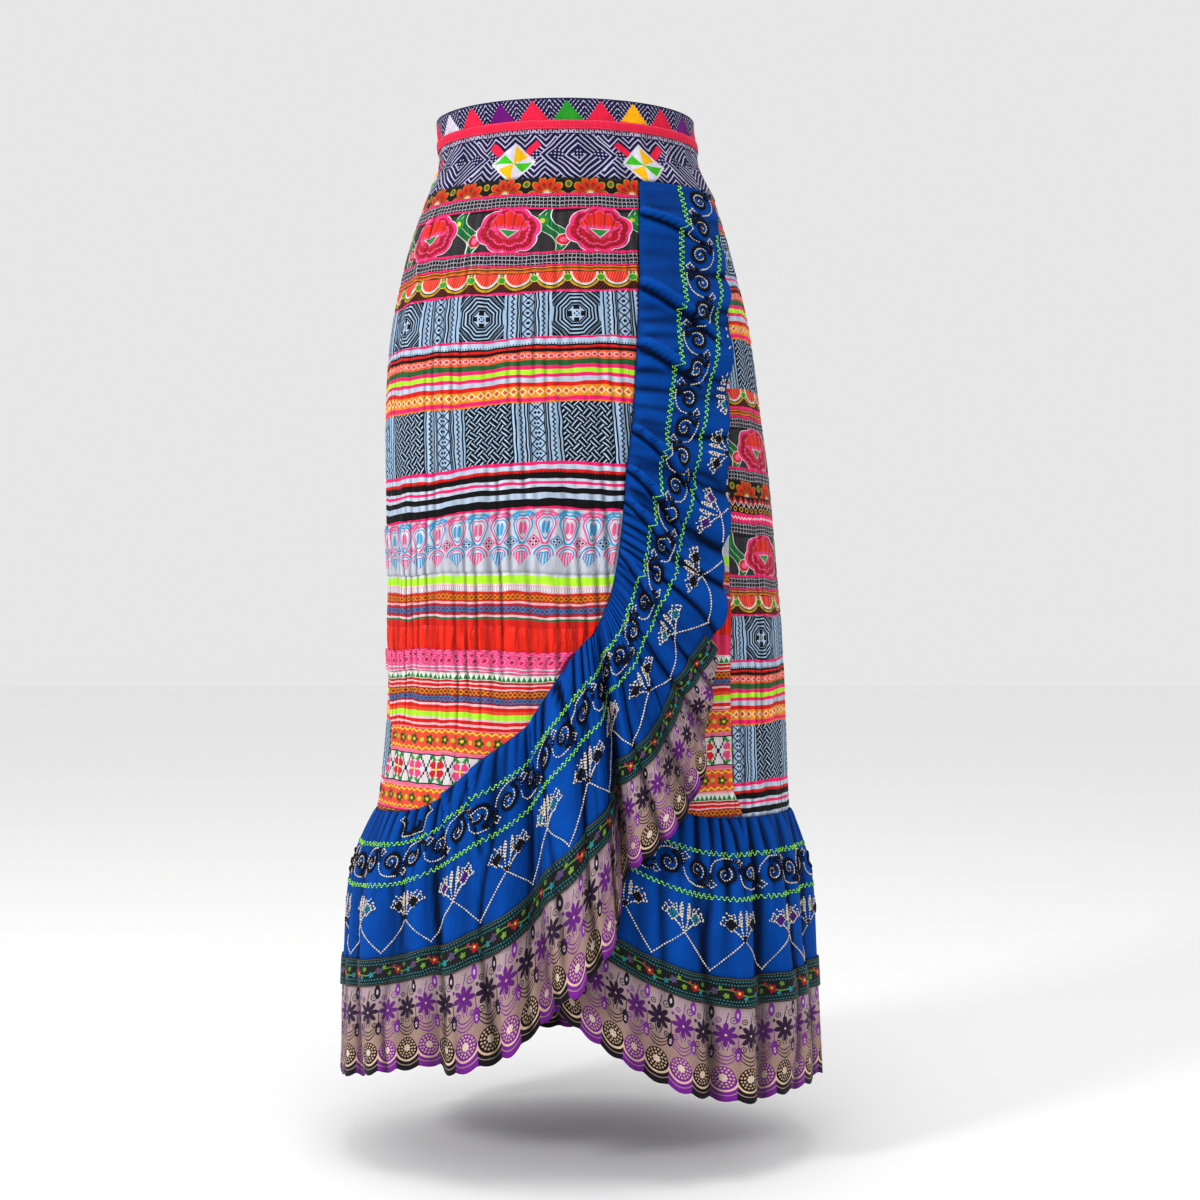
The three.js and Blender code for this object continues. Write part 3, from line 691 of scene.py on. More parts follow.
def ribbon_stripes():
    # Narrow cotton tapes and a woven orange ribbon, overlapped and sewn in lines.
    cloth = Cloth("stacked_cotton_tapes_and_woven_ribbon", PINK, 0.75)
    rows = [(0, PINK), (2, "#b9cfe6"), (7, BLACK), (8.6, RED), (11, BLACK), (13.5, "#f0643a")]
    rows += [(21, "#2f6a3c"), (26, PINK), (29.5, LIME), (33.5, PINK), (36.5, "#c4cfe0")]
    rows += [(41, RED), (44.5, "#f5982a"), (54, PINK), (57.5, "#f28a2c")]
    cloth.stripes(59.0, rows)
    bead = radius(cloth.x.middle(6.4), (cloth.y - 17.2) * 1.3)
    cloth.rings(bead, (2.9, "#f7c9c0", 0.2), (1.9, "#f0405a", 0.2))
    diamond = abs(cloth.x.middle(7.6)) + abs(cloth.y - 49.2)
    cloth.rings(diamond, (3.8, "#ffe9b4", 0.2), (2.2, "#ea5a22", 0.2))
    tooth = abs(cloth.x.middle(2.6)) < (cloth.y - 10.2)
    cloth.paint(tooth & cloth.y.between(9.6, 12.0), BLACK)
    cloth.paint(((cloth.x % 2.6) < 1.0) & cloth.y.between(5.8, 7.0), BLACK)
    return cloth.done()


def dark_stripes():
    # Pale cotton tapes with black and pink ones between them.
    cloth = Cloth("black_and_pale_cotton_tapes", BLACK, 0.8)
    rows = [(0, PINK), (3, "#c4d2e6"), (7, RED), (10, BLACK), (15, "#c9d2e2"), (17.5, PINK)]
    rows += [(20, "#c9d2e2"), (23, BLACK), (28, "#b9c8de"), (33, BLACK), (40, PINK)]
    cloth.stripes(42.0, rows)
    cloth.paint(((cloth.x % 2.4) < 1.1) & cloth.y.between(9.0, 10.2), BLACK)
    return cloth.done()


def lace_ground():
    # Grey white cotton with short darker dashes, which backs the eyelet lace.
    cloth = Cloth("grey_white_cotton", "#cbd0da")
    cloth.paint(((cloth.x % 5.0) < 1.2) & ((cloth.y % 4.0) < 1.0), "#a8b0bd")
    return cloth.done()


def chain_braids(cloth, gold, blue):
    """A gold braid and a blue one, each two cords twisted round each other and sewn along a line."""
    wave = cloth.x.waves(8.4) * 1.9
    for middle, colour, edge in ((gold, "#d98a2a", "#7a2c14"), (blue, "#4a7fb4", "#182c4e")):
        first = abs(cloth.y - middle - wave)
        second = abs(cloth.y - middle + wave)
        cloth.paint((first < 1.35) | (second < 1.35), edge, 0.3)
        cloth.paint((first < 0.85) | (second < 0.85), colour, 0.5)


def lime_and_braid():
    # Lime and pink tapes with rows of twisted braid on red cotton.
    cloth = Cloth("lime_tape_and_twisted_braid", RED, 0.75)
    rows = [(0, "#d6d9de"), (3, LIME), (10, "#f2c9cf"), (12, "#c9b6c2"), (17, "#d9331f")]
    rows += [(26, "#e8b6c0"), (28, "#c02c34"), (38, "#f6c4cc"), (40, "#2f7a4a"), (42, "#d62a22")]
    cloth.stripes(48.0, rows)
    chain_braids(cloth, 22.0, 33.0)
    cloth.paint(((cloth.x % 2.2) < 1.1) & cloth.y.between(12.4, 16.4), "#f0e6ea", 0.2)
    return cloth.done()


def red_satin():
    # Red satin, gathered close, so it shines along each soft upright fold; the light and shade of its
    # folds are also painted strongly into its colour.
    cloth = Cloth("gathered_red_satin", "#ee2f1c", 0.32, 0.0)
    return cloth.done(weave_depth=0.02, pucker_and_painted_shade=8.0, tone=0.08)


def pink_ground():
    # Plain matt pink cotton, which shows through the narrow lace laid on it.
    return Cloth("pink_cotton", "#e8406c").done()


def green_and_braid():
    # White ribbon with green triangles, two rows of twisted braid, and lime tape on red cotton.
    cloth = Cloth("green_tick_ribbon_and_twisted_braid", RED, 0.75)
    rows = [(0, "#f0d8d8"), (1.5, "#e9efe6"), (7, "#c62a26"), (9, "#f6c4cc"), (10.5, RED)]
    rows += [(13, "#f6c4cc"), (14.5, "#b8202a"), (28, "#f3c8d0"), (30, RED), (33, "#ef5a3a")]
    rows += [(36, LIME), (41, "#f3c8d0"), (43, RED), (46, "#f6c4cc"), (48, RED)]
    cloth.stripes(51.0, rows)
    tick = abs(cloth.x.middle(4.6)) < (cloth.y - 2.0) * 0.5
    cloth.paint(tick & cloth.y.between(2.0, 6.6), "#2a8a3e", 0.2)
    chain_braids(cloth, 18.0, 24.0)
    return cloth.done()


def orange_ribbon():
    # Glossy woven ribbon in orange, with dark green flowers between yellow waves.
    cloth = Cloth("orange_jacquard_ribbon", "#f4622a", 0.5)
    cloth.paint(((cloth.x + cloth.y) % 2.6) < 0.9, "#f0405a")
    for line in (3.0, 18.0):
        cloth.paint(abs(cloth.y - line - cloth.x.waves(7.0)) < 0.8, "#f8dc3c", 0.2)
    x, y = cloth.x.middle(RIBBON_FLOWER_PITCH), cloth.y - 10.5
    flower = radius(x, y)
    cloth.paint(flower < bearing(x, y).petals(2.5) * 2.2 + 2.6, "#2f5f1c", 0.3)
    cloth.paint(flower < 1.5, "#f6d23a", 0.2)
    bud = radius((cloth.x + RIBBON_FLOWER_PITCH / 2).middle(RIBBON_FLOWER_PITCH), y)
    cloth.paint(bud < 2.0, "#c8d43a", 0.2)
    cloth.paint((cloth.y < 0.9) | (cloth.y > 20.3), "#f7a0a8", 0.2)
    return cloth.done()


CROSS = 1.45


def flower_ribbon():
    # White ribbon in counted cross stitch: eight petalled flowers inside navy hexagons.
    cloth = Cloth("cross_stitched_white_ribbon", "#e9e2df", 0.7)
    period = 17 * CROSS
    x = (cloth.x.middle(period) / CROSS).step("ROUND")
    y = ((cloth.y - 16.0) / CROSS).step("ROUND")
    aside, up = abs(x), abs(y)
    red = cloth.choose(cloth.x.count(period), ["#d92a34", "#f0508c"])
    hexagon = abs(aside + up * 0.5 - 8.4) < 0.6
    cloth.paint(hexagon & (up < 9.5), "#1b2350", 0.3)
    far = aside + up
    petal = (abs(aside - up) < 3.2) & (far < 8.7) & (far > 0.5)
    cloth.paint(petal, red, 0.4)
    cloth.paint((aside < 0.6) & up.between(1.5, 3.6), "#e9e2df")
    cloth.paint((up < 0.6) & aside.between(1.5, 3.6), "#e9e2df")
    cloth.paint(far < 1.5, "#f6e04a", 0.2)
    leaf = up.between(5.5, 8.5) & (abs(aside - (up - 4.0)) < 1.1)
    cloth.paint(leaf, "#2f9a3e", 0.3)
    cloth.paint((cloth.y < 2.6) | (cloth.y > 29.4), "#f47a9c", 0.2)
    cloth.paint(cloth.y.between(2.6, 3.6) | cloth.y.between(28.4, 29.4), "#1b2350", 0.1)
    return cloth.done(weave=CROSS)


def zigzag_band():
    # Black cotton worked with a red and white zigzag and small curls.
    cloth = Cloth("black_cotton_with_zigzags", BLACK, 0.65)
    tooth = abs(cloth.x.middle(7.0)) * 1.4
    cloth.paint(abs(cloth.y - 2.0 - tooth) < 1.2, "#e23a34", 0.3)
    cloth.paint(abs(cloth.y - 4.6 - tooth) < 0.7, "#efe6e4", 0.3)
    curl = radius(cloth.x.middle(7.0), cloth.y - 12.0)
    cloth.paint(curl.between(1.3, 2.3), "#d9a43a", 0.2)
    foot = cloth.y > 15.0
    cloth.paint(foot, PINK, 0.3)
    cloth.paint(foot & (abs(cloth.y - 18.5 - abs(cloth.x.middle(4.0))) < 0.7), "#fff0f4", 0.3)
    return cloth.done()


finish = {
    "daisy": daisy_band(),
    "check": check_band(),
    "peony": peony_band(),
    "gold": gold_lines(),
    "scallop": scallop_band(),
    "octagon": octagon_batik(),
    "maze": maze_batik(),
    "tapes": ribbon_stripes(),
    "dark": dark_stripes(),
    "ground": lace_ground(),
    "lime": lime_and_braid(),
    "satin": red_satin(),
    "pink": pink_ground(),
    "green": green_and_braid(),
    "orange": orange_ribbon(),
    "flower": flower_ribbon(),
    "zigzag": zigzag_band(),
}

# The drop at which each band of a panel begins.
OVERLAP_BANDS = """74.3 daisy  88 check  102 peony  140 check  152 gold  159 scallop  177 octagon
    217 tapes  276 maze  329 dark  371 ground  427 lime  475 satin  496 pink  516 green  567 orange
    588 flower  620 orange  641 gold  648 end"""
UNDERLAP_BANDS = """74.3 daisy  88 check  102 peony  140 check  152 gold  159 scallop  177 octagon
    217 tapes  262 maze  315 dark  355 ground  410 lime  458 satin  482 pink  500 green  549 orange
    570 flower  602 orange  624 green  648 end"""
BACK_BANDS = """74.3 daisy  88 check  102 gold  109 octagon  152 tapes  211 maze  258 scallop
    276 gold  283 check  294 peony  331 check  343 daisy  357 zigzag  379 check  391 peony
    428 check  440 gold  447 scallop  465 octagon  505 tapes  564 maze  616 dark  648 end"""

# Where the panels' edges and seams run round the form, as an angle at each drop.
OVERLAP_EDGE = table(
    "drop angle",
    """
    74.3  26.8
    120   24.4
    165   22.6
    210   20.7
    255   19
    302   16.4
    337   14
    371   12.5
    402   11
    438   8.5
    462   5.6
    482   2
    500   -3
    522   -7.6
    543   -11.7
    560   -15
    577   -21
    594   -28
    615   -35.5
    632   -42
    642   -52
    645.5 -66
    647   -79
    648   -84
    """,
)
SIDE_SEAM = table(
    "drop angle",
    """
    60  -88
    500 -88
    549 -75
    586 -71
    604 -73
    624 -77
    650 -88
    """,
)
FRONT_SEAM = table(
    "drop angle",
    """
    60  68
    174 62
    342 49.5
    451 45.5
    541 43.9
    613 44.2
    650 48.6
    """,
)
UNDERLAP_EDGE = table(
    "drop angle",
    """
    74.3 -46
    165  -42
    302  -36
    371  -33
    438  -29
    477  -26
    512  -20
    544  -12
    575  -4
    597  3
    618  12
    634  22
    645  34
    648  44
    """,
)
overlap_edge = column_curve(OVERLAP_EDGE["drop"], OVERLAP_EDGE["angle"])
side_seam = column_curve(SIDE_SEAM["drop"], SIDE_SEAM["angle"])
front_seam = column_curve(FRONT_SEAM["drop"], FRONT_SEAM["angle"])
underlap_edge = column_curve(UNDERLAP_EDGE["drop"], UNDERLAP_EDGE["angle"])
PANEL_WALL = 1.5
PANEL_EASE = 0.5
SEAM_GAP = 0.3
SEAM_DEPTH = 0.45
SEAM_REACH = 1.2
MM_A_DEGREE = 3.0
OVERLAP_LIFT = PANEL_WALL + 2 * SEAM_GAP


def read_bands(text):
    words = text.split()
    starts = [float(word) for word in words[::2]]
    return starts, words[1::2]


# How strongly each kind of band is drawn up by the gathers, in millimetres. The rest are smoother.
SMOOTH_PUCKER = 0.6
PUCKER = {"satin": 2.7, "ground": 1.2, "lime": 1.6, "green": 1.5, "pink": 1.8, "orange": 1.1}
PUCKER.update({"flower": 0.8, "octagon": 0.65, "maze": 0.75, "tapes": 0.9, "dark": 0.9})


def puckers(angle, drop, strength):
    """Fine uneven upright folds, pinched in where the cloth is drawn up."""
    x = angle * MM_A_DEGREE
    drift = 1.6 * np.sin(drop / 47 + angle / 23) + 0.9 * np.sin(drop / 21 - angle / 9)
    fine = 2.2 * np.abs(np.sin((x + drift) / 3.6)) - 1.4 + 0.5 * np.sin((x - drift) / 1.3 + 1.7)
    broad = np.sin((x + 2.2 * drift) / 5.1 + 0.6) + 0.5 * np.sin(x / 9.7)
    patchy = 0.6 + 0.4 * np.sin(x / 14.3 + drop / 61)
    return strength * (0.5 * fine * patchy + 0.5 * broad)


def slack(angle, drop):
    """How far a band hangs below its true level, most of all at the left of the hips."""
    hips = 11 * ease(-angle, 5, 80) * ease(drop, 240, 345) * (1 - ease(drop, 372, 440))
    waist = 5 * ease(-angle, -5, 70) * ease(drop, 120, 200) * (1 - ease(drop, 240, 330))
    uneven = 1.1 * np.sin(angle / 10.7 + drop / 57) + 0.6 * np.sin(angle / 4.3 + drop / 29)
    return ((hips + waist) * (angle < 90) + uneven) * ease(drop, 76, 120) * (1 - ease(drop, 600, 640))


def band_lift(starts, kinds, angle, drop):
    """The puckers of a banded panel, with the shallow valleys of the seams between its bands."""
    middles = [(a + b) / 2 for a, b in zip(starts, starts[1:])]
    strengths = [PUCKER.get(kind, SMOOTH_PUCKER) for kind in kinds[:-1]]
    strength = np.interp(drop, middles, strengths) * ease(drop, 76, 110)
    seams = np.min(np.abs(drop[..., None] - np.array(starts)), axis=-1)
    groove = -SEAM_DEPTH * np.exp(-((seams / SEAM_REACH) ** 2))
    return np.maximum(puckers(angle, drop, strength) + 0.45 * strength, -0.5) + groove


def banded_panel(name, node, bands, edges, stand, calm=np.ones_like, row_step=3.2, column_step=3.1):
    """A panel of level bands between two edges that are given as angles at each drop."""
    left, right = edges
    starts, kinds = read_bands(bands)
    names = sorted(set(kinds[:-1]))
    drops, rows = [], []
    for start, end, kind in zip(starts, starts[1:], kinds):
        count = max(2, round((end - start) / row_step))
        drops += list(np.linspace(start, end, count + 1)[:-1])
        rows += [(names.index(kind), start, end)] * count
    drops = np.array(drops + [starts[-1]])
    # A degree is about 3.1 mm where the skirt is widest.
    widest = float(np.max(np.abs(right(drops) - left(drops)))) * 3.1
    across = np.linspace(0, 1, round(widest / column_step) + 1)
    share, drop = np.meshgrid(across, drops, indexing="ij")
    angle = right(drop) + (left(drop) - right(drop)) * share
    lift = band_lift(starts, kinds, angle, drop) * calm(angle)
    places = on_form(angle, drop + slack(angle, drop), stand(angle, drop) + lift)
    upper = np.empty((len(across), len(rows), 2))
    lower = np.empty_like(upper)
    for j, (_, start, end) in enumerate(rows):
        girth = girth_at((start + end) / 2)
        upper[:, j] = np.stack([girth(angle[:, j]), drop[:, j] - start], -1)
        lower[:, j] = np.stack([girth(angle[:, j + 1]), drop[:, j + 1] - start], -1)
    finishes = [finish[kind] for kind in names]
    kinds = [row[0] for row in rows]
    return cloth_piece(name, node, places, (upper, lower), finishes, kinds, PANEL_WALL)


def overlap_stand(angle):
    return PANEL_WALL / 2 + OVERLAP_LIFT * ease(angle, -76, -52)


DART_ANGLE = -60
DART_HEIGHT = 2.2
DART_WIDTH = 2.2


def dart(angle, drop):
    """The tuck near the left side, a soft ridge that fades out below the hip."""
    line = DART_ANGLE + (drop - 80) * 0.01
    fade = 1 - ease(drop, 150, 330)
    return DART_HEIGHT * fade * np.exp(-(((angle - line) / DART_WIDTH) ** 2)) * ease(drop, 76, 100)


def flat_stand(angle, drop):
    return PANEL_WALL / 2 + 0 * drop


overlap_piece = banded_panel(
    "overlap_panel_bands",
    "overlap_panel",
    OVERLAP_BANDS,
    (side_seam, overlap_edge),
    lambda angle, drop: overlap_stand(angle) + PANEL_EASE + dart(angle, drop),
    row_step=2.6,
    column_step=2.2,
)
back_edges = (front_seam, lambda drop: 360 + side_seam(drop))
back_piece = banded_panel("back_panel_bands", "back_panel", BACK_BANDS, back_edges, flat_stand)
underlap_piece = banded_panel(
    "underlap_panel_bands",
    "underlap_panel",
    UNDERLAP_BANDS,
    (underlap_edge, front_seam),
    flat_stand,
    lambda angle: ease(angle, 14, 28),
)


# The lace laid on the front panel.
# A wide cotton lace with coloured palmettes and a narrow pink one with silver thread. Both are
# sewn flat along the foot, with a free scalloped top edge.
PALMETTE_PITCH = 20.0
PINK_LACE_PITCH = 8.4


def palmette_lace():
    # Grey white cotton lace, worked with pink and blue palmettes and pierced with eyelets.
    cloth = Cloth("palmette_eyelet_lace", "#c6cad6", 0.8)
    pitch = PALMETTE_PITCH
    x = cloth.x.middle(pitch)
    between = (cloth.x + pitch / 2).middle(pitch)
    pink, blue = "#ee5f98", "#45a3d4"
    colour = cloth.choose(cloth.x.count(pitch), [pink, blue])
    other = cloth.choose(cloth.x.count(pitch), [blue, pink])
    behind = cloth.choose((cloth.x + pitch / 2).count(pitch), [pink, blue])
    aside = abs(x)
    # A palmette is a heart that tapers to its foot, with a nick in the middle of its top.
    low = (cloth.y - 14.0).step("MAXIMUM", 0.0)
    high = (14.0 - cloth.y).step("MAXIMUM", 0.0)
    nick = (3.4 - aside).step("MAXIMUM", 0.0) * high * 0.06
    heart = radius(aside * (low * 0.045 + 1.0), low * 0.46 + high * 0.84) + nick
    cloth.paint(heart < 9.3, "#dcdce8", 0.2)
    cloth.paint(heart.between(7.3, 9.0), colour, 0.7)
    cloth.paint(heart.between(5.4, 6.3), other, 0.4)
    drop = radius((aside - 1.7) * 2.3, (cloth.y - 16.5) * 0.62)
    cloth.paint(drop < 3.6, other, 0.5)
    cloth.paint((aside < 0.5) & cloth.y.between(9.0, 24.0), "#c2c6d2", -0.3)
    curl = radius(abs(between) - 2.9, cloth.y - 7.4)
    cloth.paint(curl.between(0.9, 2.1), behind, 0.5)
    # Four eyelets pierce a diamond between the feet of the palmettes.
    diamond = abs(between) + abs(cloth.y - 29.0)
    cloth.paint(diamond < 6.4, behind, 0.3)
    beside = radius(abs(between) - 2.5, cloth.y - 29.0)
    holes = beside.step("MINIMUM", radius(between, abs(cloth.y - 29.0) - 2.6))
    # Painted shadow: the holes are painted near black, darker than the pale grey cotton behind them.
    cloth.rings(holes, (1.7, "#dcd0de", 0.3), (1.0, "#1c1a2c", -0.6))
    arch = radius(x, cloth.y - 41.0)
    over = cloth.y < 41.0
    cloth.paint((arch < 9.8) & over, "#e0dfe8", 0.2)
    cloth.paint(arch.between(7.6, 9.2) & over, other, 0.6)
    cloth.paint(arch.between(5.6, 6.8) & over, colour, 0.5)
    leaf = aside + abs(cloth.y - 41.5) * 0.75
    cloth.paint((leaf < 6.6) & (cloth.y > 37.5), other, 0.4)
    cloth.paint((leaf < 6.0) & (cloth.y > 38.5) & (abs((aside + 0.9).middle(2.2)) < 0.4), "#d8d3e0", 0.1)
    cord = abs(cloth.y - 2.0 - (1.0 - ((x * (math.pi / pitch)).step("COSINE"))) * 3.4)
    cloth.paint(cord < 1.5, colour, 0.7)
    return cloth.done(weave=0.9)


def pink_silver_lace():
    # Pink rayon lace with a glint of silver thread.
    cloth = Cloth("pink_lace_with_silver_thread", "#ff4a8a", 0.5)
    far = radius(cloth.x.middle(PINK_LACE_PITCH), cloth.y - 10.0)
    cloth.paint((far % 2.2) < 0.8, "#ff86b0", 0.4)
    # Painted shade: the holes are painted darker than the pink cotton behind them.
    cloth.paint(far < 1.4, "#a83450", -0.4)
    hole = radius((cloth.x + PINK_LACE_PITCH / 2).middle(PINK_LACE_PITCH), cloth.y - 5.5)
    cloth.paint(hole < 1.3, "#a83450", -0.3)
    cloth.paint((abs(cloth.y - 15.5) < 0.5) | (abs(cloth.y - 18.6) < 0.5), "#dfe3ea", 0.3)
    return cloth.done(weave=0.8)


TRIM_INSET = 0.8


def panel_trim(name, node, slot, cloth, top, bottom, pitch, rise):
    """A lace laid across the overlap panel between two drops, with a scalloped top edge."""
    middle = (top + bottom) / 2
    girth = girth_at(middle)
    right, left = overlap_edge(middle) - TRIM_INSET, side_seam(middle) + 1
    count = round(float(girth(right) - girth(left)) / 1.7)
    share, down = np.meshgrid(np.linspace(0, 1, count + 1), np.linspace(0, 1, 15), indexing="ij")
    run = girth(right + (left - right) * share)
    scallop = rise * (1 - np.abs(np.cos(np.pi * run / pitch)))
    drop = top + scallop + (bottom - top - scallop) * down
    edge = overlap_edge(drop) - TRIM_INSET
    angle = edge + (left - edge) * share
    below = band_lift(*read_bands(OVERLAP_BANDS), angle, drop) + PANEL_EASE
    ruffle = 0.5 * np.maximum(np.sin(run / 2.3 + np.sin(run / 17)), -0.2) * (1 - 0.6 * down)
    lift = below + PANEL_WALL / 2 + TRIM_WALL / 2 + SEAM_GAP + ruffle + 0.5 * (1 - down)
    places = on_form(angle, drop + slack(angle, drop), overlap_stand(angle) + lift)
    flat = np.stack([run, drop - top], -1)
    return cloth_piece(name, node, places, (flat[:, :-1], flat[:, 1:]), [cloth], 0, TRIM_WALL)


eyelet_names = ("palmette_eyelet_lace", "eyelet_lace", "lace_pale")
eyelet_piece = panel_trim(*eyelet_names, palmette_lace(), 371, 427, PALMETTE_PITCH, 3)
pink_names = ("narrow_pink_lace", "pink_lace", "lace_pink")
pink_lace_piece = panel_trim(*pink_names, pink_silver_lace(), 496, 516, PINK_LACE_PITCH, 2)


# The flounces.
# One strip of blue cotton with a net lace hem is gathered on to the wrap's free edge, falls as a
# cascade, and goes on all round the hem. A beaded ribbon covers the join of cloth and lace.
FRONT_FLOUNCE = table(
    "angle drop freeAngle freeDrop stand width",
    """
    26.8  75    61    75.2 7   62
    25.5  100   64    98   8   68
    24.1  128   61    131  10  75
    22.6  165   58.5  165  11  81
    20.7  210   53    212  12  85
    19    255   50    258  13  92
    16.4  302   45.6  318  14  105
    14    337   43.2  372  15  118
    12.5  371   40.5  420  17  132
    11.2  398   37.5  470  19  148
    9.9   419   34.5  510  21  174
    8.5   437   31.5  548  24  204
    7.6   447   29.5  585  27  232
    6.9   453   28    617  29  246
    6.2   458   23.6  642  31  246
    5.6   462   18.5  664  32  246
    5     465.5 13.4  680  31  246
    4.6   467.5 12.6  684  22  246
    4.2   470   11.9  688  13  246
    3.6   473   10.8  699  9.5 246
    3.1   476   9.9   718  11  246
    2.6   479   9.5   733  18  246
    1.8   482.5 8.7   745  25  246
    0.6   486.5 7     757  29  246
    -1.8  495   3.4   772  31  246
    -6    515   0     792  30  246
    -10.3 536   -2.8  797  26  246
    -12   545   -4.2  801  18  246
    -13.3 552   -5.8  812  11.5 246
    -15.5 562   -9.8  827  12  246
    -21   577   -15.6 848  15  246
    -28   594   -23.7 860  18  246
    -33   608   -28.5 866  18  246
    -35.5 615   -31   865  14  246
    -38.5 623   -33.5 861  11.5 246
    -43   633   -39.6 865  14  246
    -53   642.5 -49.5 873  15  246
    -67   645.5 -62.5 884  13  246
    -79   647   -77.5 892  13  246
    -87.9 648   -87.9 896  13  246
    """,
)
BACK_FLOUNCE = table(
    "angle drop freeAngle freeDrop stand width",
    """
    272.1 648 272.1 896 13 246
    180    648 180    897 13 246
    89.85  648 89.85  897 13 246
    """,
)
UNDERLAP_FLOUNCE = table(
    "angle drop freeAngle freeDrop stand width",
    """
    89.85 648 89.85 897 13 246
    62    648 61    895 13 246
    44    648 42    895 13 246
    34    645 30    888 11 246
    22    634 17    868 7  246
    12    618 6     842 4  246
    3     597 -4    813 3  246
    -4    575 -11   792 3  246
    -11   547 -18   768 3  246
    """,
)
FLOUNCE_WALL = 1.2
BLUE_WIDTH = 149
RIBBON_START = 137
RIBBON_END = 163
STRIP_WIDTH = 246
SCALLOP_PITCH = 22
SCALLOP_DEPTH = 3.5
SCALLOP_REACH = 10
ON_PANEL = PANEL_WALL + 2 * SEAM_GAP + FLOUNCE_WALL / 2
GATHER_HEIGHT = 2.6
GATHER_REACH = 38
TUCK_HEIGHT = 12.0
TUCK_RUN = 19
# How fast the cloth rises off the panel. The greater it is, the closer to the seam it has risen.
SEAM_RISE = 9


class Strip:
    """A length of the flounce strip. Its points are a distance along it and one across it.

    waves and depth are the number of its broad waves and how deep they are, seat gives how far its
    sewn edge stands off the form, and fullness is the height of the soft folds in its fall.
    """

    def __init__(self, rows, waves, depth, spread, seat, fullness, tucks=()):
        places = on_form(rows["freeAngle"], rows["freeDrop"], rows["stand"]) / MM
        spans = np.linalg.norm(np.diff(places, axis=0), axis=1)
        # Where rows are far apart, the cloth is longer than the straight line between them.
        long_turn = np.where(np.abs(np.diff(rows["angle"])) > 60, 1.12, 1)
        run = np.append(0, np.cumsum(spread * spans * long_turn))
        self.curve = {name: column_curve(run, rows[name]) for name in rows}
        self.run = run
        self.length = run[-1]
        self.waves, self.depth, self.seat, self.fullness = waves, depth, seat, fullness
        self.tucks = [(np.interp(drop, rows["drop"], run), lean, reach) for drop, lean, reach in tucks]

    def width(self, at):
        return self.curve["width"](at)

    def creases(self, at, across):
        """Gathers at the sewn edge, soft folds in the fall, and the pressed tucks."""
        drift = 5 * np.sin(at / 61) + 3 * np.sin(at / 23 + across / 40)
        fine = 2 * np.abs(np.sin((at + drift) / 4.9)) + 0.9 * np.abs(np.sin((at - drift) / 8.3 + 1)) - 1.5
        patchy = 0.6 + 0.4 * np.sin(at / 31 + 2)
        close = 0.3 + 0.7 * ease(self.curve["drop"](at), 330, 470)
        lift = GATHER_HEIGHT * close * fine * patchy * np.exp(-across / GATHER_REACH) * ease(across, -5, 5)
        broad = 1.9 * np.abs(np.sin((at + 2 * drift) / 15.1 + 0.3)) - 1.2
        broad = broad + 0.7 * np.sin((at - drift + across * 0.2) / 12.7)
        lift = lift + self.fullness * broad * ease(across, 4, 80)
        ripple = np.sin((at + drift) / 4.3) * np.sin(at / 37 + across / 55)
        lift = lift + 0.9 * ripple * ease(across, 60, 240)
        for start, lean, reach in self.tucks:
            off = start + lean * across - at
            fade = ease(across, -3, 5) * (1 - ease(across, reach * 0.45, reach))
            lift = lift + fade * TUCK_HEIGHT * ease(off, -1.2, 1.6) * np.exp(-np.maximum(off, 0) / TUCK_RUN)
            lift = lift - fade * 2.4 * np.exp(-(((off + 4) / 3) ** 2))
        return np.maximum(lift, -0.9 - 3.4 * ease(across, 30, 120))

    def lie(self, at, share):
        """The angle and drop of a point, at a share of the way from the sewn edge to the free one."""
        angle = self.curve["angle"](at) * (1 - share) + self.curve["freeAngle"](at) * share
        drop = self.curve["drop"](at) * (1 - share) + self.curve["freeDrop"](at) * share
        return angle, drop

    def even(self, across):
        """Turns a length of cloth, at one distance across the strip, into a distance along it."""
        at = np.linspace(0, self.length, 1600)
        angle, drop = self.lie(at, np.minimum(across / self.width(at), 1))
        places = on_form(angle, drop, self.curve["stand"](at)) / MM
        run = np.append(0, np.cumsum(np.linalg.norm(np.diff(places, axis=0), axis=1)))
        return at, run

    def place(self, at, across):
        """A point of the gathered strip, on its waves, gathers and folds."""
        share = across / self.width(at)
        angle, drop = self.lie(at, share)
        seat = self.seat(self.curve["angle"](at))
        rise = 1 - np.exp(-SEAM_RISE * share)
        s = at / self.length
        ends = ease(s, 0, 0.03) * (1 - ease(s, 0.97, 1))
        beat = 2 * np.pi * self.waves * s + 0.9 * np.sin(2 * np.pi * 2.6 * s + 1)
        size = self.depth * (0.75 + 0.25 * np.sin(2 * np.pi * 3.7 * s))
        calm = np.clip((self.curve["stand"](at) - 3) / 9, 0, 1)
        wave = size * calm * ends * rise * (0.35 + 0.65 * share) * np.sin(beat)
        gather = 32 * calm * ends * np.sin(2.6 * beat) * share * np.exp(-SEAM_RISE * share)
        stand = seat + (self.curve["stand"](at) - seat) * rise
        fold = self.creases(at, across) * calm * ends
        return on_form(angle, drop, stand + wave + gather + fold)

    def raised(self, at, across, lift):
        """Points lifted off the cloth, with the cloth's outward direction there."""
        most = np.minimum(self.width(at), STRIP_WIDTH)
        ahead, behind = np.minimum(at + 1, self.length), np.maximum(at - 1, 0)
        along = self.place(ahead, across) - self.place(behind, across)
        down = self.place(at, np.minimum(across + 1, most)) - self.place(at, np.maximum(across - 1, 0))
        out = np.cross(along, down)
        out /= np.maximum(np.linalg.norm(out, axis=-1, keepdims=True), 1e-12)
        return self.place(at, across) + out * lift * MM, out


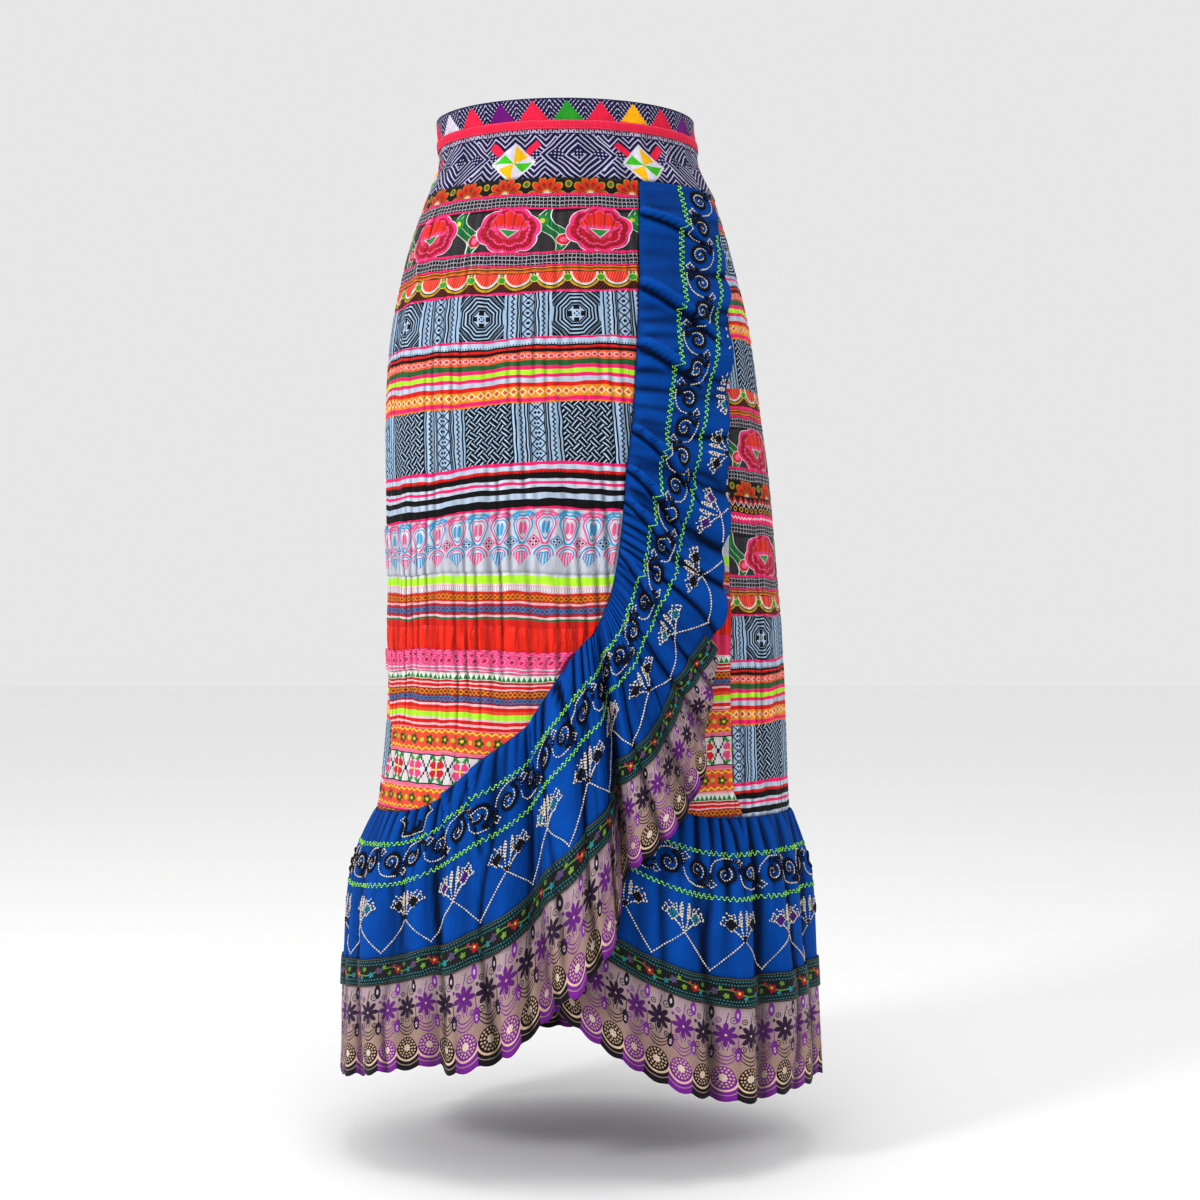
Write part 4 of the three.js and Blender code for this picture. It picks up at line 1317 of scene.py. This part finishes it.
def blue_cotton():
    # Bright blue crinkled cotton, matt, with a fine slub that breaks up the light.
    cloth = Cloth("bright_blue_cotton", "#034a9a", 0.8, 0.0)
    cloth.shader.inputs["Specular IOR Level"].default_value = 0.12
    slub = {"Vector": cloth.uv, "Scale": 210.0, "Detail": 5.0, "Distortion": 0.6}
    crinkle = add(cloth.tree, "ShaderNodeTexNoise", None, slub)
    cloth.height = Wire(cloth.tree, crinkle.outputs[0]) * 1.3
    # Its creases get a stronger painted shade than the other cloths.
    return cloth.done(weave=0.9, tone=0.18, pucker_and_painted_shade=1.6, painted_crease_shade=0.85)


def beaded_ribbon():
    # Black woven ribbon with glinting teal sequins, red flowers, lime leaves and mauve buds.
    cloth = Cloth("black_ribbon_with_sequins", "#17181a", 0.55)
    pitch = 2 * float(SCALLOP_PITCH)
    y = cloth.y - 13.0
    for row in (3.0, 6.0, 20.0, 23.0):
        bead = radius((cloth.x + row * 0.43).middle(2.6), cloth.y - row)
        cloth.paint(bead < 0.75, "#1f7f88", 0.5)
    cloth.paint((abs(cloth.y - 1.0) < 0.4) | (abs(cloth.y - 25.0) < 0.4), "#5b5a4c", 0.3)
    vine = abs(y - cloth.x.waves(pitch) * 3.0)
    cloth.paint(vine < 0.6, "#5f8f3a", 0.3)
    for place, height, colour, size in (
        (0.0, 0.5, "#a81c34", 3.9),
        (5.5, -3.4, "#b8324a", 1.8),
        (11.0, 2.4, "#6f9a36", 2.6),
        (-9.0, -3.0, "#5f8a36", 2.4),
        (21.0, -0.5, "#5c4a74", 3.4),
        (-16.0, 2.8, "#1f8f98", 2.6),
        (16.0, -4.0, "#6f9a36", 1.8),
        (-5.5, 4.4, "#1f8f98", 1.8),
    ):
        aside, down = (cloth.x - place).middle(pitch), y - height
        petal = bearing(aside, down).petals(2.5) * (size * 0.45) + size * 0.6
        cloth.paint(radius(aside, down) < petal, colour, 0.4)
    cloth.paint(radius(cloth.x.middle(pitch), y) < 1.2, "#e8c23a", 0.3)
    return cloth.done(weave=1.0)


def net_lace():
    # Beige nylon net, close machine embroidered in glossy black and purple thread.
    cloth = Cloth("embroidered_net_lace", "#b9a3a8", 0.6, 0.05, 0.5)
    pitch = float(SCALLOP_PITCH)
    x = cloth.x.middle(pitch)
    between = (cloth.x + pitch / 2).middle(pitch)
    own = cloth.choose(cloth.x.count(pitch), ["#15111a", "#7d2596"])
    soft = cloth.choose((cloth.x + pitch / 2).count(pitch), ["#1b1620", "#8a35a2"])
    net = radius(cloth.x.middle(1.3), cloth.y.middle(1.3))
    deeper = ((cloth.y - 26.0) / 34.0).step("MINIMUM", 1.0).step("MAXIMUM", 0.0)
    cloth.paint(deeper * 0.85, "#ab8d80")
    # Painted shade: the holes of the net are painted darker than its threads.
    cloth.paint((net < 0.4) * 0.5, "#6c564e", -0.2)
    y = cloth.y - 38.0
    turn = bearing(x, y)
    far = radius(x, y)
    petal = turn.petals(4.0) * 6.0 + 4.8
    cloth.paint((far < petal) & (far > 1.0), own, 0.5)
    cloth.paint((far < petal) & (abs((turn * 24.0).step("SINE")) > 0.8), "#4c2b58", 0.1)
    cloth.paint(far < 1.1, "#d8c6c2", 0.2)
    curls = [(-6.4, 24.5, 3.2), (5.8, 25.5, 2.4), (6.8, 50.0, 2.6), (-6.8, 50.5, 2.2), (10.0, 30.0, 1.5)]
    for aside, drop, size in curls:
        curl = radius(x - aside, cloth.y - drop)
        cloth.paint(curl.between(size - 0.7, size) | (curl < 0.7), own, 0.3)
    stems = [(0.25, 18.0, 30.0, -2.0), (-0.3, 44.0, 52.0, 3.6), (0.3, 44.0, 52.0, -3.6)]
    for lean, low, high, start in stems:
        stem = abs(x - start - (cloth.y - low) * lean) < 0.4
        cloth.paint(stem & cloth.y.between(low, high), own, 0.2)
    tear = radius(between, (cloth.y - 54.0) * 0.46)
    cloth.paint(tear < 2.9, soft, 0.4)
    cloth.paint(radius(between, (cloth.y - 55.5) * 0.5) < 1.2, "#d0bcb8", 0.1)
    cloth.paint((abs(between) < 0.4) & cloth.y.between(38.0, 49.0), soft, 0.2)
    bud = radius(between - 1.0, (cloth.y - 20.0) * 0.46)
    cloth.rings(bud, (2.8, soft, 0.4), (1.0, "#cbbcd0", 0.0))
    # Three fine swags hang over each medallion of the hem.
    swing = x * x * (4.0 / pitch / pitch)
    for line, weight in ((57.0, 0.5), (60.3, 0.45), (63.6, 0.5)):
        sag = cloth.y - line + swing * 9.0
        cloth.paint(abs(sag) < weight, own, 0.3)
    low = cloth.y - 75.5
    medal = radius(x, low)
    turn = bearing(x, low)
    below = low > -1.0
    cloth.paint(below, own, 0.4)
    cloth.paint(medal.between(10.8, 12.6) & below, "#dcbfa2", 0.2)
    cloth.paint(medal.between(15.4, 16.2) & below, "#a88c80", 0.1)
    cloth.paint(medal < 9.8, own, 0.5)
    # Small holes leave a mesh of threads round a pale rosette.
    for ring, count, hole in ((8.1, 17.0, 0.95), (5.5, 11.0, 1.0)):
        spot = radius((turn * ring).middle(ring * 2 * math.pi / count), medal - ring)
        cloth.paint(spot < hole, "#c9a98c", -0.3)
    cloth.paint(medal < turn.petals(4.0) * 1.2 + 2.6, "#dcc6b2", 0.4)
    return cloth.done(weave=1.3, weave_depth=0.12, tone=0.1, pucker_and_painted_shade=1.2)


FLOUNCE_FINISH = {"cloth": blue_cotton(), "lace": net_lace(), "ribbon": beaded_ribbon()}


def strip_piece(strip, name, node, kind, top, bottom, first, step, rows, lift):
    """Cuts one piece out of a flounce strip, between two distances across it."""
    scallops = round(strip.length / SCALLOP_PITCH)
    count = round((strip.length - first) / step)
    columns = np.linspace(first, strip.length, count + 1)
    at, down = np.meshgrid(columns, np.linspace(0, 1, rows + 1), indexing="ij")
    shown = np.minimum(strip.width(at), bottom)
    across = top + (shown - top) * down
    beat = np.abs(np.sin(np.pi * at / strip.length * scallops))
    hem = SCALLOP_DEPTH * (1 - beat) * ease(across, STRIP_WIDTH - SCALLOP_REACH, STRIP_WIDTH)
    places = strip.raised(at, across - hem, lift)[0]
    even = at / strip.length * scallops * SCALLOP_PITCH
    flat = np.stack([even, across - hem - top], -1)
    flat = (flat[:, :-1], flat[:, 1:])
    wall = TRIM_WALL if kind == "ribbon" else FLOUNCE_WALL
    return cloth_piece(name, node, places, flat, [FLOUNCE_FINISH[kind]], 0, wall)


def first_wide(strip, width):
    """Where along a strip its visible width first takes in a distance across it."""
    at = np.linspace(0, strip.length, 2000)
    return float(at[np.argmax(strip.width(at) >= width)])


# Each pressed tuck: its drop at the seam, its lean and how far across the strip it reaches.
TUCKS = [(103, 0.5, 60), (168, 0.7, 80), (222, 0.6, 70), (298, 0.8, 90), (334, 0.7, 80), (361, 0.6, 70)]
TUCKS += [(408, 0.5, 70), (520, -0.3, 70), (556, -0.2, 80), (600, -0.3, 90), (622, -0.2, 70)]
front_strip = Strip(
    FRONT_FLOUNCE,
    waves=9,
    depth=2,
    spread=1,
    seat=lambda angle: overlap_stand(angle) + ON_PANEL - PANEL_WALL / 2,
    fullness=3.0,
    tucks=TUCKS,
)
back_strip = Strip(BACK_FLOUNCE, 13, 5, 1.1, lambda angle: ON_PANEL + 0 * angle, 2.8)
under_strip = Strip(UNDERLAP_FLOUNCE, 6, 4, 1, lambda angle: ON_PANEL + 0 * angle, 2.6)
RIBBON_LIFT = FLOUNCE_WALL / 2 + 3 * SEAM_GAP + TRIM_WALL / 2
# The lace begins where this much of it shows below the cloth.
LEAST_LACE = 12
sides = [("front", front_strip, 2.6), ("back", back_strip, 3.4), ("underlap", under_strip, 3.4)]
for side, strip, step in sides:
    lace_first = first_wide(strip, BLUE_WIDTH + LEAST_LACE)
    ribbon_first = first_wide(strip, RIBBON_END)
    for kind, slot, top, bottom, first, rows, lift in (
        ("cloth", "blue_cotton", 0, BLUE_WIDTH, 0, 42, 0),
        ("lace", "net_lace", BLUE_WIDTH + SEAM_GAP, STRIP_WIDTH, lace_first, 28, 0),
        ("ribbon", "beaded_ribbon", RIBBON_START, RIBBON_END, ribbon_first, 8, RIBBON_LIFT),
    ):
        node = f"{side}_flounce_{kind}"
        strip_piece(
            strip, node + "_strip", node, kind, top, bottom, first, step, rows, lift
        )


# The hand embroidery on the flounces.
# Scrolls between two lime zigzags, then sprays of arrow shaped flowers with dotted chevrons below.
# Each line of a chart is laid on the cloth, and Geometry Nodes sew raised stitches along it.
def stitch_tree():
    """Sews short raised stitches, turned to the cloth, along every line of a mesh."""
    tree = bpy.data.node_groups.new("stitches_along_lines", "GeometryNodeTree")
    sockets = {"Geometry": "NodeSocketGeometry", "Spacing": "NodeSocketFloat", "Length": "NodeSocketFloat"}
    sockets.update({"Width": "NodeSocketFloat", "Height": "NodeSocketFloat", "Seed": "NodeSocketInt"})
    sockets["Thread"] = "NodeSocketMaterial"
    for name, kind in sockets.items():
        tree.interface.new_socket(name=name, in_out="INPUT", socket_type=kind)
    tree.interface.new_socket(name="Geometry", in_out="OUTPUT", socket_type="NodeSocketGeometry")
    given = add(tree, "NodeGroupInput").outputs
    line = add(tree, "GeometryNodeMeshToCurve", None, {"Mesh": given["Geometry"]})
    spaced = {"Curve": line.outputs[0], "Length": given["Spacing"]}
    even = add(tree, "GeometryNodeResampleCurve", {"mode": "LENGTH"}, spaced)
    out = add(tree, "GeometryNodeInputNamedAttribute", {"data_type": "FLOAT_VECTOR"}, {"Name": "out"})
    tangent = add(tree, "GeometryNodeInputTangent")
    outward = {"Vector": out.outputs["Attribute"]}
    upright = add(tree, "FunctionNodeAlignRotationToVector", {"axis": "Z"}, outward)
    along = {"Rotation": upright.outputs[0], "Vector": tangent.outputs[0]}
    turned = add(tree, "FunctionNodeAlignRotationToVector", {"axis": "X", "pivot_axis": "Z"}, along)
    spread = {"Min": 0.8, "Max": 1.15, "Seed": given["Seed"]}
    uneven = add(tree, "FunctionNodeRandomValue", {"data_type": "FLOAT"}, spread)
    bead = add(tree, "GeometryNodeMeshUVSphere", None, {"Segments": 4, "Rings": 3, "Radius": 0.5})
    sides = {0: given["Length"], 1: given["Width"], 2: given["Height"]}
    size = add(tree, "ShaderNodeCombineXYZ", None, sides)
    drawn = {"Geometry": bead.outputs[0], "Scale": size.outputs[0]}
    shaped = add(tree, "GeometryNodeTransform", None, drawn)
    laid = {"Points": even.outputs[0], "Instance": shaped.outputs[0]}
    laid.update({"Rotation": turned.outputs[0], "Scale": uneven.outputs["Value"]})
    placed = add(tree, "GeometryNodeInstanceOnPoints", None, laid)
    solid = add(tree, "GeometryNodeRealizeInstances", None, {"Geometry": placed.outputs[0]})
    smooth = add(tree, "GeometryNodeSetShadeSmooth", None, {"Geometry": solid.outputs[0]})
    dyed = {"Geometry": smooth.outputs[0], "Material": given["Thread"]}
    done = add(tree, "GeometryNodeSetMaterial", None, dyed)
    add(tree, "NodeGroupOutput", None, {"Geometry": done.outputs[0]})
    return tree


def sew(name, points, outs, breaks, thread, tree, **sizes):
    """Makes a piece of stitches along lines. breaks holds the first point of each line."""
    mesh = bpy.data.meshes.new(name + "_lines")
    index = np.arange(len(points) - 1)
    joined = ~np.isin(index + 1, breaks)
    edges = np.stack([index[joined], index[joined] + 1], 1)
    mesh.from_pydata(points.tolist(), edges.tolist(), [])
    layer = mesh.attributes.new("out", "FLOAT_VECTOR", "POINT")
    layer.data.foreach_set("vector", outs.reshape(-1).astype(np.float32))
    guide = bpy.data.objects.new(name + "_lines", mesh)
    bpy.context.scene.collection.objects.link(guide)
    modifier = guide.modifiers.new("stitches", "NODES")
    modifier.node_group = tree
    inputs = {"Thread": thread, "Seed": 5, **{key: size * MM for key, size in sizes.items()}}
    for item in tree.interface.items_tree:
        if item.in_out == "INPUT" and item.name in inputs:
            modifier[item.identifier] = inputs[item.name]
    ready = guide.evaluated_get(bpy.context.evaluated_depsgraph_get())
    made = bpy.data.meshes.new_from_object(ready)
    piece = bpy.data.objects.new(name, made)
    bpy.context.scene.collection.objects.link(piece)
    bpy.data.objects.remove(guide)
    made.materials.clear()
    made.materials.append(thread)
    made.name = name
    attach(piece, "root")
    return piece


def spiral(middle, high, first, last, start, end):
    """A curl round a middle, from its first radius and angle to its last."""
    turn = np.radians(np.linspace(start, end, 34))
    far = np.linspace(first, last, 34)
    return [(middle + r * math.cos(t), high + r * math.sin(t)) for r, t in zip(far, turn)]


def scrolls(middle, turned):
    """One curl of the scroll border: a heavy navy spiral, its cream echo and the line to the next."""
    link = [(-13.5, 52), (-12.5, 58), (-7, 61.5), (1, 61.5), (8, 59), (12, 54.5), (13.5, 49)]
    leaf = [(8.5, 38), (12, 34.5), (15, 38), (12.5, 41.5), (8.5, 38)]

    def shift(line):
        return [(middle + x, 2 * SCROLL_LINE - y if turned else y) for x, y in line]

    navy = [spiral(0, 48, 10.6, 3.4, 110, 520), [(-3.6, 58), (-9, 60.5), (-13, 57), (-13.5, 51)]]
    cream = [spiral(0, 48, 7.4, 1.2, 140, 600), link, leaf]
    return {"navy": [shift(line) for line in navy], "cream": [shift(line) for line in cream]}


def spray(middle, heart):
    """A fan of two arrow shaped flowers and two buds, and the chevron that joins it to the next."""
    lines = []
    corners = ((-1, 0), (0, 1), (1, 0), (0, -1), (-1, 0))

    def shift(line, side=1):
        return [(middle + side * x, y) for x, y in line]

    hearts = [shift([(-1.2, 102), (1.2, 102), (0, 104.5), (-1.2, 102)])]
    for side in (1, -1):
        for line in (
            [(0, 105), (4.5, 100), (8, 97)],
            [(0.8, 103), (2.4, 97), (3.4, 92)],
            [(2.6, 92), (2.2, 84), (3.6, 79), (5.2, 84), (4.4, 92), (2.8, 92)],
            [(3.6, 90), (3.7, 82)],
            [(6, 91), (11.5, 97), (17, 91), (11.5, 85), (6, 91)],
            [(15.5, 87.5), (18, 84), (19, 89), (21.5, 91), (17.5, 92)],
            [(8, 87), (8.6, 82), (12, 84), (15, 81.5)],
            [(9, 96), (5.5, 98.5)],
            [(1.5, 106), (28, 133)],
        ):
            lines.append(shift(line, side))
        for wide in (4.0, 2.7, 1.3):
            hearts.append(shift([(11.5 + x * wide, 91 + y * wide) for x, y in corners], side))
    return {"cream": lines, heart: hearts}


def house(middle):
    """A stepped outline in two threads, under the lowest band of the front panel."""
    steps = np.array([(-17, 4), (-21, 9), (-13, 14), (-13, 25), (13, 25), (13, 14), (21, 9), (17, 4)])
    outer = [(middle + x, y) for x, y in steps]
    inner = [(middle + x * 0.82, y - 2.4) for x, y in steps]
    return {"cream": [outer], "navy": [inner, [(middle - 5, 14), (middle - 5, 19), (middle + 4, 19)]]}


def zigzag(first, last, across):
    steps = np.arange(first, last, ZIGZAG_STEP)
    return [(at, across + (ZIGZAG_RISE if i % 2 else -ZIGZAG_RISE)) for i, at in enumerate(steps)]


SCROLL_PITCH = 27
SPRAY_PITCH = 56
HOUSE_ANGLE = -48
# The distances across a strip at which each part of the embroidery is worked.
HOUSE_LINE = 16
SCROLL_LINE = 48
ZIGZAG_LINES = (31, 69)
SPRAY_LINE = 95
ZIGZAG_STEP = 2.6
ZIGZAG_RISE = 2.1
CLOSE_STEP = 2.5
END_MARGIN = 0.4
FREE_MARGIN = 3
# A thread's shade, then the spacing, length, width and height of its stitches in millimetres.
THREADS = {
    "cream": ("#ded2bc", 2.5, 2.7, 1.8, 1.3),
    "navy": ("#04071a", 2.3, 3.2, 4.6, 2.0),
    "lime": ("#9cea4e", 2.4, 3.1, 1.3, 1.1),
    "purple": ("#562684", 2.2, 2.6, 1.9, 1.3),
    "teal": ("#127c96", 2.2, 2.6, 1.9, 1.3),
}


def chart_strip(strip, house_at):
    """Every line of one strip's embroidery, under the colour of its thread."""
    charts = {colour: [] for colour in THREADS}

    def chart(across, group):
        # Lengths on a chart are true ones on the cloth, at the group's own distance across it.
        at, run = strip.even(across)
        for colour, lines in group.items():
            for line in lines:
                charts[colour].append([(float(np.interp(x, run, at)), y) for x, y in line if 0 < x < run[-1]])

    scroll_end = strip.even(SCROLL_LINE)[1][-1]
    for i, middle in enumerate(np.arange(SCROLL_PITCH / 2, scroll_end, SCROLL_PITCH)):
        chart(SCROLL_LINE, scrolls(middle, i % 2))
    spray_end = strip.even(SPRAY_LINE)[1][-1]
    hearts = ["navy", "purple", "navy", "teal"]
    for i, middle in enumerate(np.arange(SPRAY_PITCH / 2, spray_end, SPRAY_PITCH)):
        chart(SPRAY_LINE, spray(middle, hearts[i % 4]))
    for across in ZIGZAG_LINES:
        chart(across, {"lime": [zigzag(0.1, strip.even(across)[1][-1] - 0.1, across)]})
    if house_at is not None:
        at, run = strip.even(HOUSE_LINE)
        chart(HOUSE_LINE, house(float(np.interp(house_at, at, run))))
    return charts


def shown_points(strip, lines):
    """Points close together along lines, where the cloth shows, with the first point of each run."""
    at, across, breaks = [], [], []
    for line in lines:
        if len(line) < 2:
            continue
        line = np.array(line, float)
        steps = np.maximum(np.ceil(np.linalg.norm(np.diff(line, axis=0), axis=1) / CLOSE_STEP), 1)
        knots = np.append(0, np.cumsum(steps))
        dense = [np.interp(np.arange(knots[-1] + 1), knots, line[:, i]) for i in (0, 1)]
        shown = (dense[0] > END_MARGIN) & (dense[0] < strip.length - END_MARGIN)
        shown &= dense[1] < strip.width(np.clip(dense[0], 0, strip.length)) - FREE_MARGIN
        # A line that leaves the shown cloth starts again where it comes back.
        starts = np.flatnonzero(np.diff(np.append(0, shown.astype(int))) == 1)
        kept = np.flatnonzero(shown)
        breaks += [len(at) + int(np.searchsorted(kept, start)) for start in starts]
        at += list(dense[0][shown])
        across += list(dense[1][shown])
    return np.array(at), np.array(across), breaks


def embroider(side, strip, house_at=None):
    """Sews one strip's embroidery, one piece for each colour of thread."""
    pieces = []
    for colour, lines in chart_strip(strip, house_at).items():
        at, across, breaks = shown_points(strip, lines)
        if not len(at):
            continue
        _, spacing, length, width, height = THREADS[colour]
        points, outs = strip.raised(at, across, FLOUNCE_WALL / 2 + height * 0.3)
        sizes = {"Spacing": spacing, "Length": length, "Width": width, "Height": height}
        name = f"{side}_{colour}_embroidery"
        pieces.append(sew(name, points, outs, breaks, threads[colour], stitches, **sizes))
    return pieces


def thread_finish(colour, shade):
    # Softly glossy stranded cotton thread.
    material = bpy.data.materials.new(f"{colour}_stranded_cotton_thread")
    material.use_nodes = True
    settings = material.node_tree.nodes["Principled BSDF"].inputs
    settings["Base Color"].default_value = linear(shade)
    settings["Roughness"].default_value = 0.6
    settings["Specular IOR Level"].default_value = 0.2
    return material


threads = {colour: thread_finish(colour, row[0]) for colour, row in THREADS.items()}
stitches = stitch_tree()
house_at = float(np.interp(-HOUSE_ANGLE, -FRONT_FLOUNCE["angle"], front_strip.run))
embroidery = {
    "front": embroider("front", front_strip, house_at),
    "back": embroider("back", back_strip),
    "underlap": embroider("underlap", under_strip),
}
